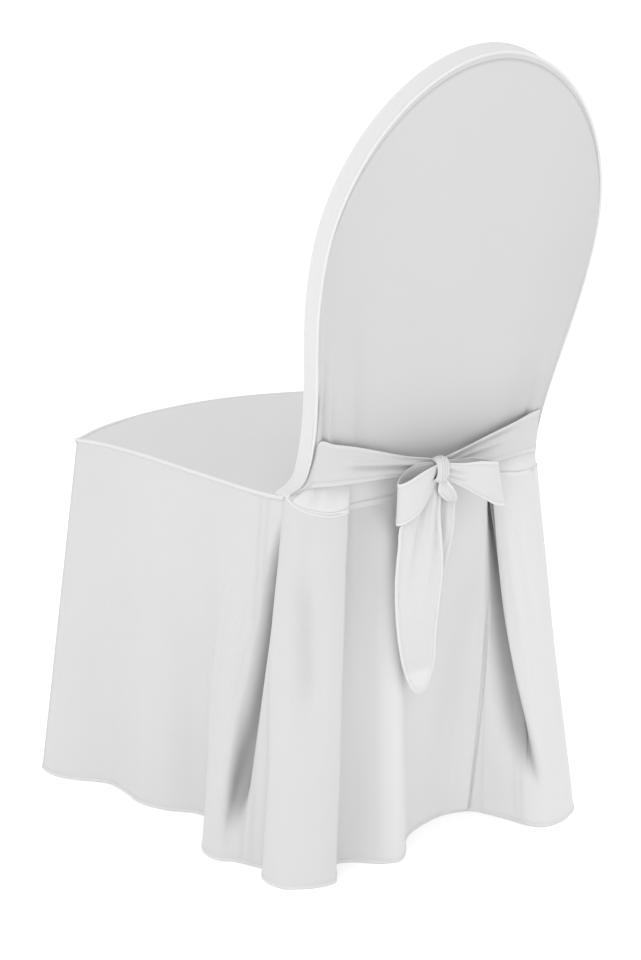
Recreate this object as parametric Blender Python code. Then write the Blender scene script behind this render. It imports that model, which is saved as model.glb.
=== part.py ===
"""Fitted chair cover of white stretch cloth, with a sash tied in a bow behind its waist.

Metres, +Z up. The design frame has its origin on the floor below the middle of the seat, +X to the
left of someone sitting, +Y to the rear. An empty then moves everything so that the world's origin is
under the crown of the back, where the hollow cover hangs on what it is fitted over.
"""

import math

import bmesh
import bpy
import numpy as np
from mathutils import Vector

# Driving sizes
SEAT_HEIGHT = 0.46
SEAT_FRONT_Y = -0.206
SEAT_REAR_Y = 0.1995
SEAT_FRONT_HALF = 0.231
SEAT_REAR_HALF = 0.187
SEAT_FRONT_BOW = 0.028
SEAT_CROWN = 0.012
SEAT_SIDE_RISE = 0.006
SEAT_FRONT_RISE = 0.013
SEAT_FLAT_RISE = 0.015

BACK_FOOT_Y = 0.224
BACK_LEAN = math.radians(16.4)
BACK_DEPTH = 0.026
BACK_WIDEST_HALF = 0.186
BACK_WIDEST_Z = 0.745
BACK_TOP_Z = 0.970
CROWN_POWER = 1.92
REAR_BULGE = 0.006
FRONT_BULGE = 0.010

CLOTH = 0.002
SEAM_GAP = 0.0004
SEAM_REACH = 0.040
BACK_FOOT_REACH = 0.06
EDGE_POWER = 0.7

# How finely the sheets are divided
FOLD_STEPS = 2
SASH_STEPS = 3
TAIL_STEPS = 2
SEAT_ROWS = 13
SEAT_COLUMNS = 15
BOXING_COLUMNS = 3
TIE_ROWS = 7
LOOP_ROWS = 5
TAIL_COLUMNS = 9
KNOT_SEGMENTS = 3

WHITE = (0.78, 0.78, 0.79)
SASH_WHITE = (0.82, 0.82, 0.83)
ROUGHNESS = 0.62

# How far the back's outline stands from its middle on each side, from the foot up to its widest place
BACK_SIDES = [
    # z, left_half, right_half
    (0.4630, 0.1860, 0.1740),
    (0.4668, 0.1858, 0.1738),
    (0.4730, 0.1740, 0.1690),
    (0.4840, 0.1640, 0.1655),
    (0.5060, 0.1605, 0.1630),
    (0.5400, 0.1610, 0.1642),
    (0.5850, 0.1665, 0.1700),
    (0.6350, 0.1755, 0.1780),
    (0.6900, 0.1838, 0.1842),
    (BACK_WIDEST_Z, BACK_WIDEST_HALF, BACK_WIDEST_HALF),
]
CROWN_STEPS = 10

# Shares of the way up a skirt, from the hem to the seam, with more rows where the cloth turns
SKIRT_HEIGHTS = [0.0, 0.09, 0.2, 0.32, 0.44, 0.56, 0.68, 0.8, 0.9, 0.96, 1.0]

# Fold lines of the rear skirt from the left seam round to the right seam, where each leaves the waist
# and where it reaches the hem
REAR_FOLDS = [
    # top_x, top_y, top_z, hem_x, hem_y
    (0.1875, 0.2006, 0.4600, 0.1927, 0.1840),
    (0.1860, 0.2245, 0.4626, 0.2090, 0.2080),
    (0.1760, 0.2320, 0.4530, 0.2050, 0.2420),
    (0.1560, 0.2340, 0.4430, 0.1830, 0.2580),
    (0.1280, 0.2340, 0.4380, 0.1570, 0.2655),
    (0.1060, 0.2300, 0.4390, 0.1400, 0.2600),
    (0.0970, 0.2220, 0.4400, 0.1270, 0.2420),
    (0.0890, 0.2185, 0.4405, 0.1150, 0.2190),
    (0.0740, 0.2200, 0.4415, 0.0930, 0.2230),
    (0.0560, 0.2230, 0.4425, 0.0630, 0.2480),
    (0.0400, 0.2230, 0.4430, 0.0410, 0.2525),
    (0.0270, 0.2200, 0.4437, 0.0230, 0.2370),
    (0.0120, 0.2185, 0.4444, 0.0060, 0.2120),
    (-0.0100, 0.2190, 0.4452, -0.0140, 0.1930),
    (-0.0400, 0.2195, 0.4465, -0.0450, 0.1770),
    (-0.0700, 0.2195, 0.4478, -0.0780, 0.1665),
    (-0.0900, 0.2195, 0.4488, -0.1050, 0.1665),
    (-0.1000, 0.2190, 0.4493, -0.1220, 0.1735),
    (-0.1050, 0.2185, 0.4496, -0.1360, 0.1990),
    (-0.1095, 0.2185, 0.4498, -0.1470, 0.2290),
    (-0.1145, 0.2220, 0.4500, -0.1560, 0.2530),
    (-0.1240, 0.2260, 0.4505, -0.1700, 0.2650),
    (-0.1420, 0.2275, 0.4515, -0.1960, 0.2630),
    (-0.1600, 0.2275, 0.4545, -0.2220, 0.2500),
    (-0.1685, 0.2265, 0.4580, -0.2350, 0.2400),
    (-0.1740, 0.2245, 0.4626, -0.2420, 0.2290),
    (-0.1850, 0.2135, 0.4612, -0.2440, 0.2150),
    (-0.1875, 0.2006, 0.4600, -0.2420, 0.1994),
]
REAR_FIRST_CORNER = 1
REAR_LAST_CORNER = 25

# Fold lines of the left skirt from the front corner to the rear seam: how far back along the seat's
# edge each starts, and where it reaches the hem
LEFT_FOLDS = [
    # top_y, hem_x, hem_y
    (-0.2034, 0.2720, -0.2498),
    (-0.1900, 0.2715, -0.2240),
    (-0.1650, 0.2560, -0.1950),
    (-0.1300, 0.2230, -0.1580),
    (-0.0950, 0.2190, -0.1150),
    (-0.0550, 0.2210, -0.0760),
    (-0.0150, 0.2040, -0.0390),
    (0.0250, 0.1740, -0.0060),
    (0.0550, 0.1690, 0.0280),
    (0.0850, 0.1930, 0.0600),
    (0.1120, 0.2220, 0.0860),
    (0.1360, 0.2300, 0.1120),
    (0.1560, 0.2245, 0.1330),
    (0.1700, 0.2110, 0.1460),
    (0.1850, 0.2025, 0.1630),
    (0.1998, 0.1925, 0.1830),
]
RIGHT_FOLDS = [
    # top_y, hem_x, hem_y
    (-0.2034, -0.2720, -0.2498),
    (-0.1900, -0.2700, -0.2230),
    (-0.1600, -0.2540, -0.1880),
    (-0.1200, -0.2300, -0.1420),
    (-0.0800, -0.2250, -0.0960),
    (-0.0350, -0.2410, -0.0520),
    (0.0050, -0.2470, -0.0140),
    (0.0450, -0.2280, 0.0270),
    (0.0800, -0.2100, 0.0620),
    (0.1150, -0.2180, 0.0960),
    (0.1450, -0.2400, 0.1260),
    (0.1750, -0.2440, 0.1620),
    (0.1998, -0.2420, 0.1985),
]
FRONT_FOLDS = [
    # top_share of the half width, hem_x, hem_y
    (-1.00, -0.2720, -0.2525),
    (-0.86, -0.2380, -0.2570),
    (-0.66, -0.1850, -0.2540),
    (-0.44, -0.1240, -0.2680),
    (-0.20, -0.0580, -0.2770),
    (0.04, 0.0080, -0.2690),
    (0.28, 0.0760, -0.2650),
    (0.50, 0.1370, -0.2760),
    (0.70, 0.1920, -0.2720),
    (0.86, 0.2350, -0.2600),
    (1.00, 0.2720, -0.2525),
]

# The ties, between a side seam and the knot: the top and bottom edge and how far behind the back's
# plane each edge stands
LEFT_TIE = [
    # top_x, top_z, bottom_x, bottom_z, top_out, bottom_out
    (0.1562, 0.5352, 0.1620, 0.4795, 0.0030, 0.0050),
    (0.1380, 0.5310, 0.1340, 0.4780, 0.0066, 0.0086),
    (0.1080, 0.5240, 0.1030, 0.4782, 0.0090, 0.0120),
    (0.0740, 0.5142, 0.0720, 0.4788, 0.0110, 0.0150),
    (0.0420, 0.5049, 0.0420, 0.4797, 0.0150, 0.0175),
    (0.0096, 0.4985, 0.0096, 0.4830, 0.0205, 0.0205),
]
RIGHT_TIE = [
    # top_x, top_z, bottom_x, bottom_z, top_out, bottom_out
    (-0.0096, 0.4970, -0.0096, 0.4815, 0.0205, 0.0205),
    (-0.0400, 0.5035, -0.0400, 0.4790, 0.0150, 0.0165),
    (-0.0720, 0.5125, -0.0720, 0.4778, 0.0110, 0.0140),
    (-0.1050, 0.5222, -0.1030, 0.4772, 0.0090, 0.0120),
    (-0.1340, 0.5305, -0.1330, 0.4790, 0.0066, 0.0090),
    (-0.1560, 0.5350, -0.1620, 0.4797, 0.0030, 0.0048),
]
TIE_FOLD = 0.05
TIE_FLAT_OUT = 0.0036
TIE_FREE_REACH = 0.006

# The bow's middle, where the ties, loops and free ends meet
KNOT_Z = 0.4860
KNOT_OUT = 0.0340
KNOT_SIZE = (0.0175, 0.0200, 0.0300)
KNOT_ROUNDING = 0.0065

# Each loop's path from the knot out and back to it, with its middle height and half its height there,
# and how far along x its top edge stands from its middle
LEFT_LOOP = [
    # x, out, middle_z, half_height, lean
    (0.0094, 0.0300, 0.4860, 0.0110, 0.0000),
    (0.0300, 0.0270, 0.4790, 0.0160, 0.0020),
    (0.0460, 0.0270, 0.4650, 0.0215, 0.0030),
    (0.0570, 0.0320, 0.4570, 0.0250, 0.0040),
    (0.0605, 0.0410, 0.4510, 0.0265, 0.0045),
    (0.0595, 0.0490, 0.4500, 0.0268, 0.0055),
    (0.0470, 0.0520, 0.4565, 0.0270, 0.0065),
    (0.0300, 0.0490, 0.4665, 0.0240, 0.0060),
    (0.0094, 0.0390, 0.4820, 0.0120, 0.0000),
]
RIGHT_LOOP = [
    # x, out, middle_z, half_height, lean
    (-0.0094, 0.0390, 0.4820, 0.0110, 0.0000),
    (-0.0270, 0.0470, 0.4770, 0.0160, 0.0020),
    (-0.0500, 0.0520, 0.4690, 0.0245, 0.0060),
    (-0.0740, 0.0520, 0.4600, 0.0305, 0.0100),
    (-0.0870, 0.0460, 0.4570, 0.0305, 0.0125),
    (-0.0800, 0.0370, 0.4590, 0.0290, 0.0110),
    (-0.0560, 0.0300, 0.4700, 0.0225, 0.0060),
    (-0.0340, 0.0280, 0.4780, 0.0150, 0.0020),
    (-0.0094, 0.0300, 0.4840, 0.0100, 0.0000),
]

# The free ends, from the knot down to the tip: the left and right edges and how far back they hang
LONG_TAIL = [
    # z, left_x, right_x, y
    (0.4680, 0.0090, -0.0075, 0.2630),
    (0.4500, 0.0290, -0.0060, 0.2610),
    (0.4250, 0.0500, -0.0070, 0.2590),
    (0.3950, 0.0540, -0.0100, 0.2590),
    (0.3600, 0.0570, -0.0120, 0.2585),
    (0.3250, 0.0560, -0.0090, 0.2575),
    (0.2850, 0.0515, -0.0050, 0.2565),
    (0.2500, 0.0440, -0.0040, 0.2555),
    (0.2250, 0.0340, 0.0030, 0.2550),
    (0.2100, 0.0210, 0.0130, 0.2545),
]
SHORT_TAIL = [
    # z, left_x, right_x, y
    (0.4680, 0.0040, -0.0120, 0.2530),
    (0.4480, 0.0050, -0.0330, 0.2505),
    (0.4250, 0.0070, -0.0342, 0.2500),
    (0.3960, 0.0070, -0.0320, 0.2490),
    (0.3650, 0.0060, -0.0250, 0.2485),
    (0.3200, 0.0010, -0.0165, 0.2480),
]
TAIL_FOLD = 0.05


def curve_through(rows, steps):
    """Points on a smooth curve through the rows, with so many steps from each row to the next."""
    rows = np.asarray(rows, float)
    gaps = np.linalg.norm(np.diff(rows, axis=0), axis=1) ** 0.5
    knots = np.concatenate([[0.0], np.cumsum(gaps)])
    slopes = np.gradient(rows, knots, axis=0)
    points = []
    for k, gap in enumerate(gaps):
        for step in range(steps):
            s = step / steps
            points.append(
                (2 * s**3 - 3 * s**2 + 1) * rows[k]
                + (s**3 - 2 * s**2 + s) * gap * slopes[k]
                + (3 * s**2 - 2 * s**3) * rows[k + 1]
                + (s**3 - s**2) * gap * slopes[k + 1]
            )
    points.append(rows[-1])
    return np.array(points)


def rear_y(z):
    """Where the plane of the back's rear side stands at a height."""
    return BACK_FOOT_Y + math.tan(BACK_LEAN) * (z - SEAT_HEIGHT)


def behind_back(x, z, out):
    """A point a distance out behind the plane of the back's rear side."""
    return (x, rear_y(z) + out, z)


def seat_half(y):
    """Half the seat's width at a distance from front to rear."""
    share = (y - SEAT_FRONT_Y) / (SEAT_REAR_Y - SEAT_FRONT_Y)
    return SEAT_FRONT_HALF + share * (SEAT_REAR_HALF - SEAT_FRONT_HALF)


def seat_side_z(y):
    """Height of the seat's side edge, which stands up a little at its middle."""
    share = (y - SEAT_FRONT_Y) / (SEAT_REAR_Y - SEAT_FRONT_Y)
    return SEAT_HEIGHT + SEAT_SIDE_RISE * math.sin(math.pi * min(max(share, 0.0), 1.0))


def seat_front_point(share):
    """A point on the seat's bowed front edge, at a share of its half width."""
    rise = 1.0 - share**2
    return (
        share * SEAT_FRONT_HALF,
        SEAT_FRONT_Y - SEAT_FRONT_BOW * rise,
        SEAT_HEIGHT + SEAT_FRONT_RISE * rise,
    )


def back_outline():
    """The back's rear outline as x and z, from the left foot over the crown to the right foot."""
    left = [(left_half, z) for z, left_half, _ in BACK_SIDES]
    right = [(-right_half, z) for z, _, right_half in reversed(BACK_SIDES)]
    rise = BACK_TOP_Z - BACK_WIDEST_Z
    crown = []
    for step in range(1, 2 * CROWN_STEPS):
        turn = math.pi / 2 * step / CROWN_STEPS
        across = math.copysign(abs(math.cos(turn)) ** (2 / CROWN_POWER), math.cos(turn))
        up = math.sin(turn) ** (2 / CROWN_POWER)
        crown.append((BACK_WIDEST_HALF * across, BACK_WIDEST_Z + rise * up))
    return left + crown + right


def on_back(x, z, depth):
    """A point of the rear outline moved forward by a depth, down to the seat at the outline's foot."""
    foot = BACK_SIDES[0][0]
    settled = max(0.0, 1.0 - (z - foot) / BACK_FOOT_REACH)
    lift = SEAM_GAP + CLOTH * math.sin(BACK_LEAN)
    drop = (foot - SEAT_HEIGHT - lift) * depth / BACK_DEPTH
    rise = depth * math.sin(BACK_LEAN)
    return (x, rear_y(z) - depth * math.cos(BACK_LEAN), z + rise * (1.0 - settled) - drop * settled)


def fill_outline(outline, bottom, side_steps):
    """A grid of points between a bottom edge and an outline that goes up, over and down again.

    The outline's first and last side_steps spans are the grid's left and right edges, and the spans
    between them are its top edge, so the bottom edge has as many points as the top edge.
    """
    outline = np.asarray(outline, float)
    bottom = np.asarray(bottom, float)
    left = outline[: side_steps + 1]
    right = outline[::-1][: side_steps + 1]
    top = outline[side_steps : len(outline) - side_steps]
    climb = np.linalg.norm(np.diff(left, axis=0), axis=1)
    climb = np.concatenate([[0.0], np.cumsum(climb)]) / climb.sum()
    grid = []
    for row, up in enumerate(climb):
        line = []
        for column in range(len(bottom)):
            across = column / (len(bottom) - 1)
            corners = (
                (1 - across) * (1 - up) * bottom[0]
                + across * (1 - up) * bottom[-1]
                + (1 - across) * up * top[0]
                + across * up * top[-1]
            )
            line.append(
                (1 - up) * bottom[column]
                + up * top[column]
                + (1 - across) * left[row]
                + across * right[row]
                - corners
            )
        grid.append(line)
    return np.array(grid)


def dome(rows, columns):
    """How far a panel's cloth stands out over its grid: nothing at the edges, 1 in the middle."""
    up = np.sin(np.pi * np.linspace(0, 1, rows))[:, None] ** EDGE_POWER
    across = np.sin(np.pi * np.linspace(0, 1, columns))[None, :] ** EDGE_POWER
    return up * across


def add_piece(name, mesh, parent, colour):
    """Put a mesh in the scene as a piece of the cover, with a plain cloth material of its own."""
    material = bpy.data.materials.new(name)
    material.use_nodes = True
    shader = material.node_tree.nodes["Principled BSDF"]
    shader.inputs["Base Color"].default_value = (*colour, 1.0)
    shader.inputs["Roughness"].default_value = ROUGHNESS
    shader.inputs["Metallic"].default_value = 0.0
    mesh.materials.append(material)
    mesh.shade_smooth()
    piece = bpy.data.objects.new(name, mesh)
    bpy.context.scene.collection.objects.link(piece)
    piece.parent = parent
    return piece


def cloth(name, grid, parent, colour=WHITE):
    """A sheet of cloth whose outer face is the grid, with its thickness on the inner side.

    Seen from outside, the grid's rows go up and its columns go to the right.
    """
    grid = np.asarray(grid, float)
    rows, columns = grid.shape[:2]
    faces = []
    for row in range(rows - 1):
        for column in range(columns - 1):
            corner = row * columns + column
            faces.append((corner, corner + 1, corner + columns + 1, corner + columns))
    mesh = bpy.data.meshes.new(name)
    mesh.from_pydata(grid.reshape(-1, 3).tolist(), [], faces)
    thickness = add_piece(name, mesh, parent, colour).modifiers.new("cloth", "SOLIDIFY")
    thickness.thickness = CLOTH
    thickness.offset = -1.0
    thickness.use_quality_normals = True


def hanging(lines):
    """A grid of rows between the seam and the hem, from lines that each give a point on both."""
    return np.array([lines[:, 3:] + up * (lines[:, :3] - lines[:, 3:]) for up in SKIRT_HEIGHTS])


def back_rear_panel(outline, waist, parent):
    """The smooth oval of the back's rear side, from the waist seam up."""
    bottom = waist[:, [0, 2]] + (0.0, SEAM_GAP)
    flat = fill_outline(outline, bottom, (len(outline) - len(waist)) // 2)
    bulge = REAR_BULGE * dome(*flat.shape[:2])
    grid = np.zeros((*flat.shape[:2], 3))
    for row, line in enumerate(flat):
        for column, (x, z) in enumerate(line):
            seam_out = waist[column, 1] - rear_y(bottom[column, 1])
            away = min(1.0, (z - bottom[column, 1]) / SEAM_REACH)
            near_seam = 1.0 - away**2 * (3.0 - 2.0 * away)
            out = bulge[row, column] * (1.0 - near_seam) + seam_out * near_seam
            grid[row, column] = behind_back(x, z, out)
    cloth("back_rear", grid, parent)


def back_front_panel(outline, columns, parent):
    """The oval of the back's front side, from the seat up."""
    bottom = np.linspace(outline[0], outline[-1], columns)
    flat = fill_outline(outline, bottom, (len(outline) - columns) // 2)
    bulge = FRONT_BULGE * dome(*flat.shape[:2])
    grid = np.zeros((*flat.shape[:2], 3))
    for row, line in enumerate(flat):
        for column, (x, z) in enumerate(line):
            grid[row, column] = on_back(x, z, BACK_DEPTH)
            grid[row, column, 1] -= bulge[row, column]
    cloth("back_front", grid[:, ::-1], parent)


def back_boxing_strip(outline, parent):
    """The strip between the two oval panels, over the crown and down both sides."""
    inset = CLOTH + 2 * SEAM_GAP
    depths = np.linspace(BACK_DEPTH - inset, inset, BOXING_COLUMNS)
    grid = [[on_back(x, z, depth) for depth in depths] for x, z in outline]
    cloth("back_boxing", grid, parent)


def seat_panel(parent):
    """The seat panel, crowned over its middle and flat where it lies on the seat."""
    grid = []
    for back in np.linspace(0, 1, SEAT_ROWS):
        y = SEAT_FRONT_Y + back * (SEAT_REAR_Y - SEAT_FRONT_Y)
        side_rise = seat_side_z(y) - SEAT_HEIGHT
        line = []
        for share in np.linspace(-1, 1, SEAT_COLUMNS):
            _, front_y, front_z = seat_front_point(share)
            forward = (1 - back) ** 2
            crown = SEAT_CROWN * (1 - share**4) * (1 - (2 * back - 1) ** 4)
            rise = side_rise * share**2 + (front_z - SEAT_HEIGHT) * forward + crown
            bow = (front_y - SEAT_FRONT_Y) * forward
            line.append((share * seat_half(y), y + bow, SEAT_HEIGHT + min(rise, SEAT_FLAT_RISE)))
        grid.append(line)
    cloth("seat", grid, parent)


def hung_from_side(folds, side):
    """A grid for a skirt panel under one side edge of the seat. side is 1 on the left, -1 on the right."""
    rows = []
    for top_y, hem_x, hem_y in folds:
        top_z = seat_side_z(top_y) - CLOTH - SEAM_GAP
        rows.append((side * seat_half(top_y), top_y, top_z, hem_x, hem_y, 0.0))
    return hanging(curve_through(rows, FOLD_STEPS))


def skirts(parent):
    """The three skirt panels that hang from the seat's edges."""
    cloth("skirt_left", hung_from_side(LEFT_FOLDS, 1), parent)
    cloth("skirt_right", hung_from_side(RIGHT_FOLDS, -1)[:, ::-1], parent)
    rows = []
    for share, hem_x, hem_y in FRONT_FOLDS:
        x, y, z = seat_front_point(share)
        rows.append((x, y, z - CLOTH - SEAM_GAP, hem_x, hem_y, 0.0))
    cloth("skirt_front", hanging(curve_through(rows, FOLD_STEPS)), parent)


def rear_skirt(parent):
    """The folded panel that hangs from the waist seam. Returns the points that the panel above meets."""
    lines = curve_through([(*fold, 0.0) for fold in REAR_FOLDS], FOLD_STEPS)
    tops = lines[:, :3]
    tops[1::2] = (tops[:-1:2] + tops[2::2]) / 2
    cloth("skirt_rear", hanging(lines), parent)
    return tops[FOLD_STEPS * REAR_FIRST_CORNER : FOLD_STEPS * REAR_LAST_CORNER + 1 : FOLD_STEPS]


def tie(name, sections, parent):
    """One tie of the sash, between its side seam and the knot, with a soft fold along it."""
    lines = curve_through(sections, SASH_STEPS)
    grid = []
    for up in np.linspace(0, 1, TIE_ROWS):
        line = []
        for top_x, top_z, bottom_x, bottom_z, top_out, bottom_out in lines:
            height = top_z - bottom_z
            out = bottom_out + up * (top_out - bottom_out)
            free = min(1.0, max(0.0, (out - TIE_FLAT_OUT) / TIE_FREE_REACH))
            fold = TIE_FOLD * height * free * math.sin(3 * math.pi * up)
            x = bottom_x + up * (top_x - bottom_x)
            line.append(behind_back(x, bottom_z + up * height, out + CLOTH + fold))
        grid.append(line)
    cloth(name, grid, parent, SASH_WHITE)


def bow_loop(name, path, parent):
    """One loop of the bow: a strip on edge that goes out from the knot and comes back to it."""
    lines = curve_through(path, SASH_STEPS)
    grid = []
    for up in np.linspace(-1, 1, LOOP_ROWS):
        grid.append([behind_back(x + up * lean, z + up * half, out) for x, out, z, half, lean in lines])
    cloth(name, grid, parent, SASH_WHITE)


def bow_knot(parent):
    """The wrap round the middle of the bow, as a rounded block."""
    block = bmesh.new()
    bmesh.ops.create_cube(block, size=1.0)
    bmesh.ops.scale(block, vec=KNOT_SIZE, verts=block.verts)
    bmesh.ops.translate(block, vec=behind_back(0.0, KNOT_Z, KNOT_OUT), verts=block.verts)
    mesh = bpy.data.meshes.new("bow_knot")
    block.to_mesh(mesh)
    block.free()
    wrap = add_piece("bow_knot", mesh, parent, SASH_WHITE)
    rounding = wrap.modifiers.new("rounding", "BEVEL")
    rounding.width = KNOT_ROUNDING
    rounding.segments = KNOT_SEGMENTS


def tail(name, sections, parent):
    """A free end of the tie, hanging from the knot with soft folds down its length."""
    lines = curve_through(sections, TAIL_STEPS)
    grid = []
    for z, left_x, right_x, y in lines[::-1]:
        line = []
        for across in np.linspace(0, 1, TAIL_COLUMNS):
            fold = TAIL_FOLD * (left_x - right_x) * math.cos(3 * math.pi * across)
            line.append((left_x + across * (right_x - left_x), y + fold, z))
        grid.append(line)
    cloth(name, grid, parent, SASH_WHITE)


def under_crown():
    """The middle of the crown's inner side, which the world's origin is moved to."""
    _, y, z = on_back(0.0, BACK_TOP_Z, BACK_DEPTH / 2)
    return Vector((0.0, y - CLOTH * math.sin(BACK_LEAN), z - CLOTH * math.cos(BACK_LEAN)))


def main():
    for existing in list(bpy.data.objects):
        bpy.data.objects.remove(existing)
    frame = bpy.data.objects.new("cover_frame", None)
    bpy.context.scene.collection.objects.link(frame)
    frame.location = -under_crown()
    outline = back_outline()
    waist = rear_skirt(frame)
    back_rear_panel(outline, waist, frame)
    back_front_panel(outline, len(waist), frame)
    back_boxing_strip(outline, frame)
    seat_panel(frame)
    skirts(frame)
    tie("sash_left", LEFT_TIE, frame)
    tie("sash_right", RIGHT_TIE, frame)
    bow_loop("bow_loop_left", LEFT_LOOP, frame)
    bow_loop("bow_loop_right", RIGHT_LOOP, frame)
    bow_knot(frame)
    tail("sash_tail_long", LONG_TAIL, frame)
    tail("sash_tail_short", SHORT_TAIL, frame)


main()
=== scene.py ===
"""Fitted white cover with a sash tied behind its waist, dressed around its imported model.

Metres, +Z up, with the origin under the crown of the back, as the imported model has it. The tables of
folds are in the maker's frame, whose origin is on the floor below the middle of the seat, with +X to the
left of someone sitting and +Y to the rear. placed() moves what they make into the model's frame.
"""

import math

import bpy
import numpy as np
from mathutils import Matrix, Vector


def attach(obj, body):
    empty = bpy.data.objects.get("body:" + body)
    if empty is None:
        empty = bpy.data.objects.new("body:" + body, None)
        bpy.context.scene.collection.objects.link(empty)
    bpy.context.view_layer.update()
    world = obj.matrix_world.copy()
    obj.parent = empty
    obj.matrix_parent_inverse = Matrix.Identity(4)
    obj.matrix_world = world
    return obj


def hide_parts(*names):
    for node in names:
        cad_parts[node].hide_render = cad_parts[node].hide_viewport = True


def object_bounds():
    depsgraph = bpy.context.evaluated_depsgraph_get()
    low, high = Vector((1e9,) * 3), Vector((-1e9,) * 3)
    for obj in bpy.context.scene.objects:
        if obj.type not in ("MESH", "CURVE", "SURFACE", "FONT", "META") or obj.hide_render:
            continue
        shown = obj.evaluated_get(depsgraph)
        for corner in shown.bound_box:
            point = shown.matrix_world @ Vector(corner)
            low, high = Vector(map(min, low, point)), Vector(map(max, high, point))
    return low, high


bl_info = {
    "name": "Chair cover",
    "version": (1, 0, 0),
    "blender": (4, 5, 0),
    "location": "3D View > Sidebar > Chair cover",
    "description": "Makes a fitted cloth cover with a pleated skirt and a sash tied in a bow",
    "category": "Mesh",
}

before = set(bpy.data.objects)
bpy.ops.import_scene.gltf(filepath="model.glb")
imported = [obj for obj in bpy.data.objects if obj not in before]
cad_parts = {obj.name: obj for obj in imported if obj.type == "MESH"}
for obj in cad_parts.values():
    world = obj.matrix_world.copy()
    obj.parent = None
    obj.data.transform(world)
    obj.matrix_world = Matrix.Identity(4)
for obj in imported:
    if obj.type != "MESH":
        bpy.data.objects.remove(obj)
CAD_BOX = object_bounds()

BODY = "root"

# Sizes of the cover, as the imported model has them
SEAT_HEIGHT = 0.46
SEAT_FRONT_Y = -0.206
SEAT_REAR_Y = 0.1995
SEAT_FRONT_HALF = 0.231
SEAT_REAR_HALF = 0.187
SEAT_FRONT_BOW = 0.028
SEAT_CROWN = 0.012
SEAT_FRONT_RISE = 0.013
SEAT_FLAT_RISE = 0.015
BACK_FOOT_Y = 0.224
BACK_FOOT_Z = 0.463
BACK_LEAN = math.radians(16.4)
BACK_DEPTH = 0.026
BACK_WIDEST_HALF = 0.186
BACK_WIDEST_Z = 0.745
BACK_TOP_Z = 0.970
CROWN_POWER = 1.92
CROWN_STEPS = 10
REAR_BULGE = 0.006
FRONT_BULGE = 0.010
SOLID_CLOTH = 0.002

# The seat's rear corners reach back under the feet of the back, and the right one drops and turns in
SEAT_LEFT_EAR = 0.0205
SEAT_LEFT_EAR_START = 0.88
SEAT_RIGHT_EAR = 0.0125
SEAT_RIGHT_EAR_START = 0.80
SEAT_RIGHT_DROP = 0.0105
SEAT_RIGHT_DROP_START = 0.10
SEAT_RIGHT_TUCK = 0.006
CORNER_POWER = 8
SKIRT_SEAM_DROP = 0.0005

# How far from their edges the back's panels come away from their seams
SEAM_REACH = 0.040
BACK_FOOT_REACH = 0.06
FOOT_SINK = 0.001
FOOT_REACH_SHARE = 0.08
EDGE_POWER = 0.7

# Spacing of the rows and columns of points: the whole length, the step in its middle, the step near its
# ends, and how far the finer steps reach
REAR_ROWS = (0.42, 0.004, 0.0012, 0.006)
REAR_COLUMNS = (0.36, 0.0026, 0.0012, 0.006)
FRONT_ROWS = (0.42, 0.006, 0.0015, 0.006)
FRONT_COLUMNS = (0.36, 0.005, 0.0015, 0.006)
SEAT_ROWS = (0.41, 0.005, 0.0010, 0.008)
SEAT_COLUMNS = (0.42, 0.005, 0.0010, 0.008)
SKIRT_ROWS = (0.46, 0.0045, 0.0009, 0.009)
OUTLINE_STEPS = 8
BOXING_COLUMNS = 460

# Low lumps of cloth that never lies quite flat: their size and depth
BACK_LUMPS = (0.16, 0.0010)
SEAT_LUMPS = (0.15, 0.0008)
SKIRT_LUMPS = (0.12, 0.0022)
LUMP_WAVES = 7

# Painted light and painted shade in the cloth's colour: doubled cloth is painted whiter, partly for its extra
# layer and partly as painted light, and cloth deep in a fold, the rear panel and the ties get painted shade
DOUBLED_AND_PAINTED_LIGHT_GAIN = 1.20
HEM_DOUBLED_AND_PAINTED_HIGHLIGHT = 0.40
TIP_DOUBLED_AND_PAINTED_LIGHT = 0.55
TIP_FOLD = 0.024
TIP_SOFTNESS = 0.012
WAIST_STRIP_PAINTED_LIGHT = 0.70
BOXING_PAINTED_LIGHT = 0.50
KNOT_RIB_HIGHLIGHT = 0.6
PLEAT_DOUBLED_AND_PAINTED_LIGHT = 0.50
PLEAT_SOFTNESS = 0.025
PAINTED_SHADE_GAIN = 0.66
SHALLOW_FOLD = 0.004
DEEP_FOLD = 0.016
# Painted shade on the rear panel, deeper towards the waist, and on the ties
REAR_PAINTED_SHADE = 0.20
WAIST_PAINTED_SHADE = 0.25
WAIST_SHADE_HEIGHT = 0.15
TIE_PAINTED_SHADE = 0.25
TIE_FOOT_Z = 0.474
TIE_FOOT_SOFTNESS = 0.010

# How deep the knit's fine bumps are
KNIT_DEPTH = 0.00006

# The back's outline on each side, from the foot up to its widest place
BACK_LEFT_SIDE = [
    # x, z
    (0.185, 0.468),
    (0.1835, 0.471),
    (0.173, 0.4765),
    (0.164, 0.486),
    (0.1605, 0.506),
    (0.161, 0.54),
    (0.1665, 0.585),
    (0.1755, 0.635),
    (0.1838, 0.69),
    (BACK_WIDEST_HALF, BACK_WIDEST_Z),
]
BACK_RIGHT_SIDE = [
    # x, z
    (-0.1725, 0.454),
    (-0.1722, 0.459),
    (-0.1688, 0.469),
    (-0.1655, 0.484),
    (-0.163, 0.506),
    (-0.1642, 0.54),
    (-0.17, 0.585),
    (-0.178, 0.635),
    (-0.1842, 0.69),
    (-BACK_WIDEST_HALF, BACK_WIDEST_Z),
]

# The height of the seam along the seat's side edges
SEAT_SIDE_LINE = [
    # y, z
    (-0.206, 0.453),
    (-0.185, 0.4562),
    (-0.14, 0.4602),
    (-0.079, 0.4622),
    (0.055, 0.463),
    (0.146, 0.4632),
    (0.19, 0.4648),
    (0.215, 0.4672),
]

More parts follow.
